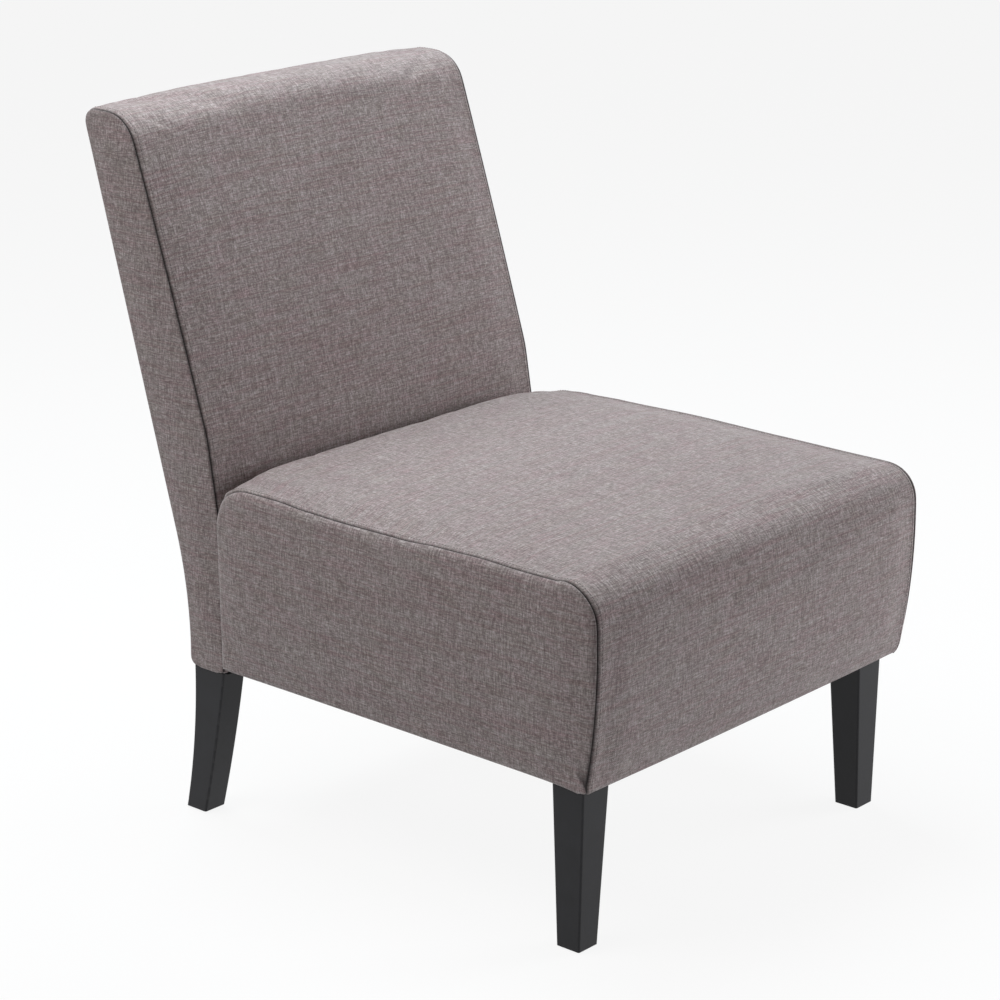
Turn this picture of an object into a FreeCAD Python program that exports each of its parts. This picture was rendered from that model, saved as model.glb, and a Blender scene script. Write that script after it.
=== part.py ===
import FreeCAD, Part
import math
import os

# Slipper chair, in millimetres. X runs across the seat, Y from front to back, Z up from the floor.
# It is drawn with Y zero where the seat meets the back, and moved to the middle of its footprint when saved.

# Seat, outside
seat_width = 560.0
seat_depth = 553.0
seat_height = 411.6
seat_hem_height = 191.0
seat_crown = 6.0
seat_front_crown = 4.6
seat_hem_setback = 16.5
seat_front_bow = 5.0
seat_top_bow = 3.0
seat_side_bulge = 8.0
seat_front_radius = 38.0
seat_rear_radius = 32.0
hem_radius = 6.0

# Back, outside
back_side_step = 12.0
back_height = 803.6
back_hem_height = 181.0
back_base_depth = 52.7
back_bend_height = 274.2
back_rear_rake = 15.66
back_front_rake = 17.9
back_lumbar_reach = 16.6
back_lumbar_height = 456.0
back_crown = 9.8
back_hem_radius = 10.0
back_front_bow = 2.0
back_front_crown = 8.0
back_side_bulge = 3.0
back_front_radius = 45.0
back_rear_radius = 14.0
back_bend_radius = 500.0
back_lumbar_radius = 120.0

# Cloth and padding
cover = 1.5
wadding = 7.7
wadding_lift = 1.0
ease = 0.3
joint_ease = 0.3
seat_foam_thickness = 63.6
hem_flap = 20.0
hem_flap_rear = 17.0
rear_drop = 38.0
dust_cloth = 0.6
spring_cloth = 1.5
liner_board = 2.9
seat_crown_power = 2.6
back_crown_power = 6.0
crown_places = (-1, -0.93, -0.8, -0.45, 0, 0.45, 0.8, 0.93, 1)
seat_side_draw = 0.08
back_side_draw = 0.03
swell_steps = 3

# Seat frame
rail_thickness = 20.0
rail_padding = 9.5
rebate_width = 14.0
rebate_depth = 7.0
block_side = 70.0
block_end = 20.0
block_height = 50.0
dowel_radius = 4.0
dowel_length = 40.0
dowel_low = 38.0
dowel_top_inset = 27.8
block_screw_offset = 58.0
block_screw_height = 25.0
block_screw_head = 20.0
block_screw_bite = 14.0
screw_radius = 2.0
screw_head_radius = 4.0
screw_head_height = 2.5
fit = 0.15

# Seat springs
spring_count = 5
spring_edge = 60.5
spring_wire_radius = 1.9
spring_pitch = 22.0
spring_bar = 34.0
clip_thickness = 1.2
clip_width = 18.0
clip_tail = 5.0
clip_nail_radius = 1.2
clip_nail_length = 12.0
tie_wire_radius = 1.3
tie_wire_bite = 6.0
tie_wire_count = 2

# Back frame
post_thickness = 30.0
post_depth = 43.0
post_rear_padding = 5.0
post_side_padding = 6.0
post_top_gap = 40.0
back_rail_thickness = 22.0
top_rail_height = 60.0
middle_rail_height = 60.0
middle_rail_drop = 325.0
bottom_rail_height = 100.0
back_seam_drop = 30.0
liner_drop = 45.0
back_foam_lift = 37.5
back_dowel_inset = 16.0
strap_count = 3
strap_width = 50.0
strap_thickness = 1.5

# Joint between seat and back
lean_start = 17.0
joint_bolt_radius = 4.0
joint_bolt_gap = 30.5
joint_bolt_low = 26.0
joint_bolt_rise = 44.0
washer_thickness = 1.6
washer_radius = 8.5
nut_height = 6.5
nut_flats = 13.0
bolt_head_height = 5.0
bolt_head_radius = 7.0
bolt_spare = 4.0

# Legs
leg_setback = 14.6
leg_round = 2.0
front_leg_foot = 30.6
front_leg_top = 42.6
front_leg_setback = 20.0
front_leg_lean = 4.4
rear_leg_top_depth = 47.2
rear_leg_foot_depth = 31.3
rear_leg_top_width = 34.3
rear_leg_foot_width = 30.6
rear_leg_start = 5.4
rear_leg_sweep = 20.5
rear_leg_bow = 5.0
rear_leg_front_bow = 2.2
leg_bolt_radius = 4.0
leg_bolt_inset = 25.0
leg_bolt_depth = 42.0
glide_thickness = 2.0
glide_radius = 9.0
glide_pin_radius = 1.5
glide_pin_length = 12.0


# Paths in the side view, as lists of lines (start, end) and arcs (start, middle, end)
def unit(dy, dz):
    size = math.hypot(dy, dz)
    return dy / size, dz / size


def side(start, end, rise):
    """A side that stands out by rise to the right of its direction."""
    if rise == 0:
        return start, end
    ay, az = unit(end[0] - start[0], end[1] - start[1])
    middle = ((start[0] + end[0]) / 2 + az * rise, (start[1] + end[1]) / 2 - ay * rise)
    return start, middle, end


def corner(before, point, after, radius):
    """The arc that rounds a corner between two straight sides."""
    iy, iz = unit(point[0] - before[0], point[1] - before[1])
    oy, oz = unit(after[0] - point[0], after[1] - point[1])
    turn = math.acos(iy * oy + iz * oz)
    reach = radius * math.tan(turn / 2)
    sink = radius * (1 / math.cos(turn / 2) - 1)
    by, bz = unit(oy - iy, oz - iz)
    start = (point[0] - reach * iy, point[1] - reach * iz)
    end = (point[0] + reach * oy, point[1] + reach * oz)
    return start, (point[0] + sink * by, point[1] + sink * bz), end


def rounded(points, closed=False):
    """A path through points (y, z, corner radius, rise of the side that follows)."""
    turns = []
    for i, point in enumerate(points):
        after = points[(i + 1) % len(points)]
        if point[2] > 0:
            turns.append(corner(points[i - 1], point, after, point[2]))
        else:
            turns.append((point[:2],))
    path = []
    for i, turn in enumerate(turns):
        if len(turn) == 3:
            path.append(turn)
        if closed or i + 1 < len(turns):
            path.append(side(turn[-1], turns[(i + 1) % len(turns)][0], points[i][3]))
    return path


def centre(arc):
    (ay, az), (by, bz), (cy, cz) = arc
    twice = 2 * (ay * (bz - cz) + by * (cz - az) + cy * (az - bz))
    a = ay * ay + az * az
    b = by * by + bz * bz
    c = cy * cy + cz * cz
    y = (a * (bz - cz) + b * (cz - az) + c * (az - bz)) / twice
    z = (a * (cy - by) + b * (ay - cy) + c * (by - ay)) / twice
    return y, z


def heading(piece, at_end):
    """The direction of travel at one end of a line or arc."""
    if len(piece) == 2:
        return unit(piece[1][0] - piece[0][0], piece[1][1] - piece[0][1])
    cy, cz = centre(piece)
    (ay, az), (by, bz), (ey, ez) = piece
    left = (by - ay) * (ez - bz) - (bz - az) * (ey - by) > 0
    py, pz = piece[-1] if at_end else piece[0]
    ry, rz = unit(py - cy, pz - cz)
    return (-rz, ry) if left else (rz, -ry)


def inset(path, depth, closed=False):
    """The same path moved to its left by depth."""
    ends = []
    for i in range(len(path) + (not closed)):
        arriving = heading(path[i - 1], True) if i > 0 or closed else heading(path[0], False)
        leaving = heading(path[i], False) if i < len(path) else arriving
        my, mz = unit(arriving[0] + leaving[0], arriving[1] + leaving[1])
        stretch = depth / (my * arriving[0] + mz * arriving[1])
        y, z = path[i][0] if i < len(path) else path[-1][-1]
        ends.append((y - mz * stretch, z + my * stretch))
    moved = []
    for i, piece in enumerate(path):
        start, end = ends[i], ends[(i + 1) % len(ends)]
        if len(piece) == 2:
            moved.append((start, end))
        else:
            hy, hz = unit(piece[2][0] - piece[0][0], piece[2][1] - piece[0][1])
            moved.append((start, (piece[1][0] - hz * depth, piece[1][1] + hy * depth), end))
    return moved


def crossing(piece, z):
    """Where a line or arc passes the height z."""
    if len(piece) == 2:
        (ay, az), (by, bz) = piece
        return ay + (by - ay) * (z - az) / (bz - az)
    cy, cz = centre(piece)
    reach = math.sqrt(math.hypot(piece[0][0] - cy, piece[0][1] - cz) ** 2 - (z - cz) ** 2)
    return cy - reach if piece[1][0] < cy else cy + reach


def above(path, z):
    """The part of a falling path that lies above the height z."""
    kept = []
    for piece in path:
        if min(piece[0][1], piece[-1][1]) >= z or piece[-1][1] > piece[0][1]:
            kept.append(piece)
            continue
        foot = (crossing(piece, z), z)
        if len(piece) == 2:
            kept.append((piece[0], foot))
        else:
            half = (piece[0][1] + z) / 2
            kept.append((piece[0], (crossing(piece, half), half), foot))
        return kept
    return kept


def turned(path):
    return [tuple(reversed(piece)) for piece in reversed(path)]


def joined(*parts):
    """One closed outline from paths and single points, with straight lines between them."""
    outline = []
    for part in parts:
        if isinstance(part, tuple):
            outline.append((outline[-1][-1], part))
            continue
        if outline:
            outline.append((outline[-1][-1], part[0][0]))
        outline.extend(part)
    outline.append((outline[-1][-1], outline[0][0]))
    return outline


def band(path, near, far):
    """The outline of a sheet that follows a path, between two depths under it."""
    return joined(inset(path, near), turned(inset(path, far)))


# Solids
def vector(x, point):
    return FreeCAD.Vector(x, point[0], point[1])


def wire(path, x):
    edges = []
    for piece in path:
        points = [vector(x, point) for point in piece]
        curve = Part.LineSegment(*points) if len(points) == 2 else Part.Arc(*points)
        edges.append(curve.toShape())
    return Part.Wire(edges)


def loft(section, stations):
    """A smooth solid through the outline that section gives at each place across the chair."""
    return Part.makeLoft([wire(section(x), x) for x in stations], True, False)


def slab(outline, low, high):
    """A flat-sided solid with this outline from X low to X high."""
    face = Part.Face(wire(outline, low))
    return face.extrude(FreeCAD.Vector(high - low, 0, 0))


def box(low, high):
    size = [b - a for a, b in zip(low, high)]
    return Part.makeBox(*size, FreeCAD.Vector(*low))


def rod(start, direction, radius, length):
    return Part.makeCylinder(radius, length, FreeCAD.Vector(*start), FreeCAD.Vector(*direction))


def hexagon(start, direction, flats, length):
    """A six-sided prism, with two of its flats upright."""
    radius = flats / 2 / math.cos(math.pi / 6)
    points = []
    for i in range(7):
        angle = math.pi / 6 + i * math.pi / 3
        points.append(FreeCAD.Vector(radius * math.cos(angle), radius * math.sin(angle), 0))
    prism = Part.Face(Part.makePolygon(points)).extrude(FreeCAD.Vector(0, 0, length))
    turn = FreeCAD.Rotation(FreeCAD.Vector(0, 0, 1), FreeCAD.Vector(*direction))
    prism.Placement = FreeCAD.Placement(FreeCAD.Vector(*start), turn)
    return prism


def flipped(shape):
    return shape.mirror(FreeCAD.Vector(0, 0, 0), FreeCAD.Vector(1, 0, 0))


def both(shape):
    return Part.makeCompound([shape, flipped(shape)])


def puffed(outline, x, bulge, draw):
    """A side that swells outwards from its seam at X in a quarter ellipse, to a flat middle."""
    middle_y = (min(p[0][0] for p in outline) + max(p[0][0] for p in outline)) / 2
    middle_z = (min(p[0][1] for p in outline) + max(p[0][1] for p in outline)) / 2
    sections = []
    for step in range(swell_steps + 1):
        angle = math.pi / 2 * step / swell_steps
        scale = 1 - draw * (1 - math.cos(angle))
        shrunk = []
        for piece in outline:
            shrunk.append(tuple((middle_y + (y - middle_y) * scale, middle_z + (z - middle_z) * scale)
                                for y, z in piece))
        sections.append(wire(shrunk, x + bulge * math.sin(angle)))
    return Part.makeLoft(sections, True, True)


def cut(shape, *tools):
    for tool in tools:
        shape = shape.cut(tool)
    return shape


def crown(x, half_width, power):
    """1 in the middle of the chair and 0 at the side seams."""
    return 1 - min(1, abs(x) / half_width) ** power


def stations(half_width):
    return [share * half_width for share in crown_places]


# Heights of the seat's layers, from the top down
seat_half = seat_width / 2
back_half = seat_half - back_side_step
foam_bottom = seat_height - cover - ease - wadding + ease - seat_foam_thickness
rail_top = foam_bottom - spring_cloth
rail_bottom = seat_hem_height + cover
rebate_height = rail_top - rebate_depth
lean_height = foam_bottom + lean_start
seat_rear = -joint_ease
seat_front_top = -seat_depth
seat_front_hem = -seat_depth + seat_hem_setback
rail_front = seat_front_hem + rail_padding
rail_rear = seat_rear - cover
rail_side = seat_half - rail_padding


def seat_points(x):
    """Corners of the seat's side view: rear bottom, rear bend, rear top, front top, front hem."""
    swell = crown(x, seat_half, seat_crown_power)
    top = seat_height + seat_crown * swell
    lean = back_lumbar_reach * (top - lean_height) / (back_lumbar_height - lean_height)
    return [
        (seat_rear, seat_hem_height, 0, 0),
        (seat_rear, lean_height, 0, 0),
        (seat_rear + lean, top, seat_rear_radius, seat_top_bow * swell),
        (seat_front_top - seat_front_crown * swell, top, seat_front_radius, seat_front_bow),
        (seat_front_hem - seat_front_crown * swell, seat_hem_height, hem_radius, 0),
    ]


def seat_outline(x):
    return rounded(seat_points(x), closed=True)


def seat_wrap(x, start, end_y):
    """The seat's main panel, from a height on its rear face over the top to a place under the front."""
    points = seat_points(x)
    return rounded([(seat_rear, start, 0, 0)] + points[1:] + [(end_y, seat_hem_height, 0, 0)])


rake_y = math.sin(math.radians(back_rear_rake))
rake_z = math.cos(math.radians(back_rear_rake))
front_slope = math.tan(math.radians(back_front_rake))
back_rear_reach = back_base_depth + (back_height - back_bend_height) * rake_y / rake_z


def raked(drop, depth):
    """A point below the back's rear top corner, measured down the rear face and into the back."""
    return (back_rear_reach - drop * rake_y - depth * rake_z, back_height - drop * rake_z + depth * rake_y)


def back_points(x):
    """Corners of the back's side view: rear hem, rear bend, rear top, front top, lumbar, joint, front hem."""
    swell = crown(x, back_half, back_crown_power)
    rise = back_crown * swell
    front_top = back_lumbar_reach + (back_height + rise - back_lumbar_height) * front_slope
    return [
        (back_base_depth, back_hem_height, back_hem_radius, 0),
        (back_base_depth, back_bend_height, back_bend_radius, 0),
        (back_rear_reach + rise * rake_y / rake_z, back_height + rise, back_rear_radius, 0),
        (front_top, back_height + rise, back_front_radius, back_front_bow + back_front_crown * swell),
        (back_lumbar_reach, back_lumbar_height, back_lumbar_radius, 0),
        (0, lean_height, back_lumbar_radius, 0),
        (0, back_hem_height, hem_radius, 0),
    ]


def back_outline(x):
    return rounded(back_points(x), closed=True)


def back_wrap(x, drop, end_y):
    """The back's main panel, from a place on its rear face over the top to a place under the front."""
    points = back_points(x)
    return rounded([raked(drop, 0) + (0, 0)] + points[2:] + [(end_y, back_hem_height, 0, 0)])


def back_rear_face(start_y, drop):
    """The back's rear face, from a place under the hem up to a drop below the top."""
    points = back_points(back_half)
    return rounded([(start_y, back_hem_height, 0, 0)] + points[:2] + [raked(drop, 0) + (0, 0)])


def frame_face(low, drop):
    """The back's rear face without its hem, for the frame inside it."""
    points = back_points(back_half)
    return rounded([(back_base_depth, low, 0, 0), points[1], raked(drop, 0) + (0, 0)])


def extreme(path, sign):
    """The furthest Y of a path, found at close steps along its arcs."""
    best = []
    for piece in path:
        best.extend(point[0] * sign for point in piece)
        if len(piece) == 3:
            cy, cz = centre(piece)
            radius = math.hypot(piece[0][0] - cy, piece[0][1] - cz)
            tip = (cy + sign * radius, cz)
            low, high = sorted((piece[0][1], piece[-1][1]))
            if low <= cz <= high and (piece[1][0] - cy) * sign > 0:
                best.append(tip[0] * sign)
    return max(best) * sign


front_reach = extreme(seat_outline(0), -1)
rear_reach = extreme(back_outline(0), 1)
origin_y = (front_reach + rear_reach) / 2


def save(node, shape):
    """Writes one sub-part, with the origin moved to the middle of the chair's footprint."""
    shape = shape.copy()
    shape.translate(FreeCAD.Vector(0, -origin_y, 0))
    solids = shape.Solids
    state = "valid" if shape.isValid() else "INVALID"
    print(node, len(solids), "solids", state, round(shape.Volume / 1000, 2), "cm3")
    whole = solids[0] if len(solids) == 1 else Part.makeCompound(solids)
    whole.exportStep("parts/" + node + ".step")


# Fastenings of the legs, kept here because the legs, blocks, cloth and posts are drilled for them
front_leg_front = seat_front_hem + front_leg_setback
leg_outer = seat_half - leg_setback
front_bolt = (leg_outer - leg_bolt_inset, front_leg_front - front_leg_lean + leg_bolt_inset)
post_outer = back_half - post_side_padding
post_inner = post_outer - post_thickness
rear_bolt = ((post_inner + post_outer) / 2, back_base_depth - post_rear_padding - post_depth / 2)
front_leg_height = seat_hem_height - dust_cloth
rear_leg_height = back_hem_height - dust_cloth


def drilled(shape, place, low, high):
    """The shape with a leg bolt's hole at a place in plan, on both sides of the chair."""
    for x in (place[0], -place[0]):
        shape = shape.cut(rod((x, place[1], low), (0, 0, 1), leg_bolt_radius + fit, high - low))
    return shape


# Front legs: square, upright on the outside, tapered to the foot
def leg_square(outer, front, width, z):
    """A square with rounded corners, given by its outer and front sides."""
    corners = ((outer, front), (outer, front + width), (outer - width, front + width), (outer - width, front))
    ring = [(x, y, leg_round, 0) for x, y in corners]
    edges = []
    for piece in rounded(ring, closed=True):
        points = [FreeCAD.Vector(x, y, z) for x, y in piece]
        curve = Part.LineSegment(*points) if len(points) == 2 else Part.Arc(*points)
        edges.append(curve.toShape())
    return Part.Wire(edges)


front_leg = Part.makeLoft([
    leg_square(leg_outer, front_leg_front, front_leg_foot, glide_thickness),
    leg_square(leg_outer, front_leg_front - front_leg_lean, front_leg_top, front_leg_height),
], True, True)
front_foot = (leg_outer - front_leg_foot / 2, front_leg_front + front_leg_foot / 2)

# Rear legs: cut from a board to a backward curve, tapered on the inside
rear_top_front = (rear_leg_start, rear_leg_height)
rear_top_rear = (rear_leg_start + rear_leg_top_depth, rear_leg_height)
rear_foot_rear = (rear_top_rear[0] + rear_leg_sweep, glide_thickness)
rear_foot_front = (rear_foot_rear[0] - rear_leg_foot_depth, glide_thickness)
rear_leg = slab([
    side(rear_foot_front, rear_foot_rear, 0),
    side(rear_foot_rear, rear_top_rear, -rear_leg_bow),
    side(rear_top_rear, rear_top_front, 0),
    side(rear_top_front, rear_foot_front, rear_leg_front_bow),
], leg_outer - rear_leg_top_width, leg_outer)
taper_corners = [
    (leg_outer - rear_leg_top_width, 0, rear_leg_height),
    (leg_outer - rear_leg_foot_width, 0, glide_thickness),
    (leg_outer - rear_leg_top_width, 0, glide_thickness),
]
taper_ring = [FreeCAD.Vector(*point) for point in taper_corners + taper_corners[:1]]
taper = Part.Face(Part.makePolygon(taper_ring)).extrude(FreeCAD.Vector(0, rear_foot_rear[0], 0))
rear_leg = rear_leg.cut(taper)
long_edges = []
for edge in rear_leg.Edges:
    if abs(edge.Vertexes[0].Z - edge.Vertexes[1].Z) > rear_leg_height / 2:
        long_edges.append(edge)
rear_leg = rear_leg.makeFillet(leg_round, long_edges)
rear_foot = (leg_outer - rear_leg_foot_width / 2, (rear_foot_front[0] + rear_foot_rear[0]) / 2)


def leg_with_holes(leg, bolt, foot, height):
    """A leg drilled at its top for its bolt and at its foot for the glide's pin."""
    top_hole = rod((*bolt, height - leg_bolt_depth), (0, 0, 1), leg_bolt_radius + fit, leg_bolt_depth)
    pin_hole = rod((*foot, glide_thickness), (0, 0, 1), glide_pin_radius + fit, glide_pin_length + fit)
    return cut(leg, top_hole, pin_hole)


front_leg = leg_with_holes(front_leg, front_bolt, front_foot, front_leg_height)
rear_leg = leg_with_holes(rear_leg, rear_bolt, rear_foot, rear_leg_height)
save("front_leg_left", front_leg)
save("front_leg_right", flipped(front_leg))
save("rear_leg_left", rear_leg)
save("rear_leg_right", flipped(rear_leg))

# Nail-on glides under the four feet
for foot, name in ((front_foot, "front"), (rear_foot, "rear")):
    disc = rod((*foot, 0), (0, 0, 1), glide_radius, glide_thickness)
    pin = rod((*foot, 0), (0, 0, 1), glide_pin_radius, glide_thickness + glide_pin_length)
    glide = disc.fuse(pin).removeSplitter()
    save("foot_glide_" + name + "_left", glide)
    save("foot_glide_" + name + "_right", flipped(glide))

# Front leg bolts through the corner blocks, with a washer and nut on top of each block
block_top = rail_bottom + block_height
bolt_start = front_leg_height - leg_bolt_depth + fit
bolt_end = block_top + washer_thickness + nut_height + bolt_spare
front_leg_bolt = rod((*front_bolt, bolt_start), (0, 0, 1), leg_bolt_radius, bolt_end - bolt_start)


def washer(start, direction, radius):
    plate = rod(start, direction, washer_radius, washer_thickness)
    return plate.cut(rod(start, direction, radius + fit, washer_thickness))


def nut(start, direction, radius):
    body = hexagon(start, direction, nut_flats, nut_height)
    return body.cut(rod(start, direction, radius + fit, nut_height))


save("front_leg_bolts", both(front_leg_bolt))
save("front_leg_washers", both(washer((*front_bolt, block_top), (0, 0, 1), leg_bolt_radius)))
save("front_leg_nuts", both(nut((*front_bolt, block_top + washer_thickness), (0, 0, 1), leg_bolt_radius)))

# Rear leg screws, half in the leg and half in the back post
post_bottom = back_hem_height + cover
rear_screw_start = rear_leg_height - leg_bolt_depth + fit
rear_screw_length = post_bottom + leg_bolt_depth - fit - rear_screw_start
rear_screw = rod((*rear_bolt, rear_screw_start), (0, 0, 1), leg_bolt_radius, rear_screw_length)
save("rear_leg_screws", both(rear_screw))

# Seat rails, with a rebate on the inner top edge of the front and rear ones for the spring clips
front_rail = box((-rail_side, rail_front, rail_bottom), (rail_side, rail_front + rail_thickness, rail_top))
front_rail = front_rail.cut(box(
    (-rail_side, rail_front + rail_thickness - rebate_width, rebate_height),
    (rail_side, rail_front + rail_thickness, rail_top)))
rear_rail = box((-rail_side, rail_rear - rail_thickness, rail_bottom), (rail_side, rail_rear, rail_top))
rear_rail = rear_rail.cut(box(
    (-rail_side, rail_rear - rail_thickness, rebate_height),
    (rail_side, rail_rear - rail_thickness + rebate_width, rail_top)))
inner_front = rail_front + rail_thickness
inner_rear = rail_rear - rail_thickness
inner_side = rail_side - rail_thickness
side_rail = box((inner_side, inner_front, rail_bottom), (rail_side, inner_rear, rail_top))

# Wooden dowels at the four corners of the seat frame
seat_dowels = []
for y in (inner_front, inner_rear):
    for z in (rail_bottom + dowel_low, rebate_height - dowel_top_inset):
        middle = (rail_side - rail_thickness / 2, y - dowel_length / 2, z)
        seat_dowels.append(rod(middle, (0, 1, 0), dowel_radius, dowel_length))


def dowel_hole(dowel_start, direction):
    return rod(dowel_start, direction, dowel_radius + fit, dowel_length)


for y in (inner_front, inner_rear):
    for z in (rail_bottom + dowel_low, rebate_height - dowel_top_inset):
        for x in (rail_side - rail_thickness / 2, -rail_side + rail_thickness / 2):
            hole = dowel_hole((x, y - dowel_length / 2, z), (0, 1, 0))
            front_rail = front_rail.cut(hole)
            rear_rail = rear_rail.cut(hole)
            if x > 0:
                side_rail = side_rail.cut(hole)

# Corner blocks, glued in and screwed to both rails; the front pair takes the leg bolts
block_corners = [
    (0, 0), (block_side, 0), (block_side, block_end), (block_end, block_side), (0, block_side), (0, 0)]


def corner_block(toward):
    """A block in the left corner of the frame, its sides running toward the middle of the seat."""
    y = inner_front if toward > 0 else inner_rear
    ring = [FreeCAD.Vector(inner_side - a, y + toward * b, rail_bottom) for a, b in block_corners]
    return Part.Face(Part.makePolygon(ring)).extrude(FreeCAD.Vector(0, 0, block_height))


def block_screws(toward):
    """Starts and directions of the two screws of a block: one into the end rail, one into the side rail."""
    y = inner_front if toward > 0 else inner_rear
    z = rail_bottom + block_screw_height
    into_end = ((inner_side - block_screw_offset, y + toward * block_screw_head, z), (0, -toward, 0))
    into_side = ((inner_side - block_screw_head, y + toward * block_screw_offset, z), (1, 0, 0))
    return into_end, into_side


screws = []
for toward, name in ((1, "front"), (-1, "rear")):
    block = corner_block(toward)
    if toward > 0:
        block = drilled(block, front_bolt, rail_bottom, block_top)
    for start, direction in block_screws(toward):
        outwards = FreeCAD.Vector(*direction) * -1
        head_start = FreeCAD.Vector(*start) + outwards * screw_head_height
        mouth = rod(start, outwards, screw_head_radius + fit, block_side)
        shank_hole = rod(start, direction, screw_radius + fit, block_screw_head + block_screw_bite)
        head = rod(head_start, direction, screw_head_radius, screw_head_height)
        shank = rod(start, direction, screw_radius, block_screw_head + block_screw_bite)
        screws.append(head.fuse(shank).removeSplitter())
        block = cut(block, mouth, shank_hole)
        side_rail = side_rail.cut(shank_hole)
        front_rail = cut(front_rail, shank_hole, flipped(shank_hole))
        rear_rail = cut(rear_rail, shank_hole, flipped(shank_hole))
    save("corner_block_" + name + "_left", block)
    save("corner_block_" + name + "_right", flipped(block))
save("corner_block_screws", both(Part.makeCompound(screws)))

# Zigzag springs, each bent from one wire: straight bars joined by half circles
wire_height = rebate_height + clip_thickness + spring_wire_radius + fit
first_bar = inner_front - rebate_width / 2
last_bar = inner_rear + rebate_width / 2
bar_steps = round((last_bar - first_bar) / spring_pitch)
bar_pitch = (last_bar - first_bar) / bar_steps


def spring_path(x):
    edges = []
    for i in range(bar_steps + 1):
        y = first_bar + i * bar_pitch
        way = 1 if i % 2 == 0 else -1
        start = FreeCAD.Vector(x - way * spring_bar / 2, y, wire_height)
        end = FreeCAD.Vector(x + way * spring_bar / 2, y, wire_height)
        edges.append(Part.LineSegment(start, end).toShape())
        if i < bar_steps:
            tip = FreeCAD.Vector(end.x + way * bar_pitch / 2, y + bar_pitch / 2, wire_height)
            after = FreeCAD.Vector(end.x, y + bar_pitch, wire_height)
            edges.append(Part.Arc(end, tip, after).toShape())
    return Part.Wire(edges)


def spring(x):
    path = spring_path(x)
    start = FreeCAD.Vector(x - spring_bar / 2, first_bar, wire_height)
    ring = Part.Wire(Part.makeCircle(spring_wire_radius, start, FreeCAD.Vector(1, 0, 0)))
    return path.makePipeShell([ring], True, False)


spring_spacing = 2 * (inner_side - spring_edge) / (spring_count - 1)
spring_places = [(i - (spring_count - 1) / 2) * spring_spacing for i in range(spring_count)]
for number, x in enumerate(spring_places, 1):
    save("seat_spring_" + str(number), spring(x))


# Spring clips: a strip bent over the end bar of a spring, with a tail nailed to the rail
def clip_outline(y, outward):
    """The clip's side view: tail, a half turn over the wire, and back to the rail."""
    inner = spring_wire_radius + fit
    outer = inner + clip_thickness
    base = rebate_height
    tail = y + outward * clip_tail
    lip = y - outward * clip_tail
    path = [
        ((tail, base), (lip, base)),
        ((lip, base), (lip, base + clip_thickness)),
        ((lip, base + clip_thickness), (y, base + clip_thickness)),
        ((y, base + clip_thickness), (y + outward * inner, wire_height), (y, wire_height + inner)),
        ((y, wire_height + inner), (y - outward * inner, wire_height + inner)),
        ((y - outward * inner, wire_height + inner), (y - outward * inner, wire_height + outer)),
        ((y - outward * inner, wire_height + outer), (y, wire_height + outer)),
        ((y, wire_height + outer), (y + outward * outer, wire_height), (tail, base + clip_thickness)),
        ((tail, base + clip_thickness), (tail, base)),
    ]
    return path


clips = []
nails = []
for x in spring_places:
    for y, outward, rail in ((first_bar, -1, "front"), (last_bar, 1, "rear")):
        clip = slab(clip_outline(y, outward), x - clip_width / 2, x + clip_width / 2)
        nail_y = y - outward * (spring_wire_radius + fit + clip_nail_radius + fit)
        nail_start = (x, nail_y, rebate_height + clip_thickness)
        hole = rod(nail_start, (0, 0, -1), clip_nail_radius + fit, clip_nail_length)
        clips.append(clip.cut(hole))
        nails.append(rod(nail_start, (0, 0, -1), clip_nail_radius, clip_nail_length - fit))
        if rail == "front":
            front_rail = front_rail.cut(hole)
        else:
            rear_rail = rear_rail.cut(hole)
save("spring_clips", Part.makeCompound(clips))
save("spring_clip_nails", Part.makeCompound(nails))

# Tie wires across the underside of the springs, their ends let into the side rails
tie_height = wire_height - spring_wire_radius - ease - tie_wire_radius
for number in range(tie_wire_count):
    y = inner_front + (inner_rear - inner_front) * (number + 1) / (tie_wire_count + 1)
    reach = inner_side + tie_wire_bite
    tie_wire = rod((-reach, y, tie_height), (1, 0, 0), tie_wire_radius, 2 * reach)
    tie_hole = rod((0, y, tie_height), (1, 0, 0), tie_wire_radius + fit, reach + fit)
    save("spring_tie_wire_" + str(number + 1), tie_wire)
    side_rail = side_rail.cut(tie_hole)

# Bolts that hold the back to the seat, two each side
bottom_rail_front = back_base_depth - post_rear_padding - post_depth + ease
bottom_rail_rear = bottom_rail_front + back_rail_thickness
joint_bolt_side = inner_side - block_side - joint_bolt_gap
joint_places = []
for x in (joint_bolt_side, -joint_bolt_side):
    for z in (rail_bottom + joint_bolt_low, rail_bottom + joint_bolt_low + joint_bolt_rise):
        joint_places.append((x, z))


def joint_drilled(shape):
    """The shape with the four holes for the bolts between seat and back."""
    for x, z in joint_places:
        hole = rod((x, inner_rear, z), (0, 1, 0), joint_bolt_radius + fit, bottom_rail_rear - inner_rear)
        shape = shape.cut(hole)
    return shape


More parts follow.
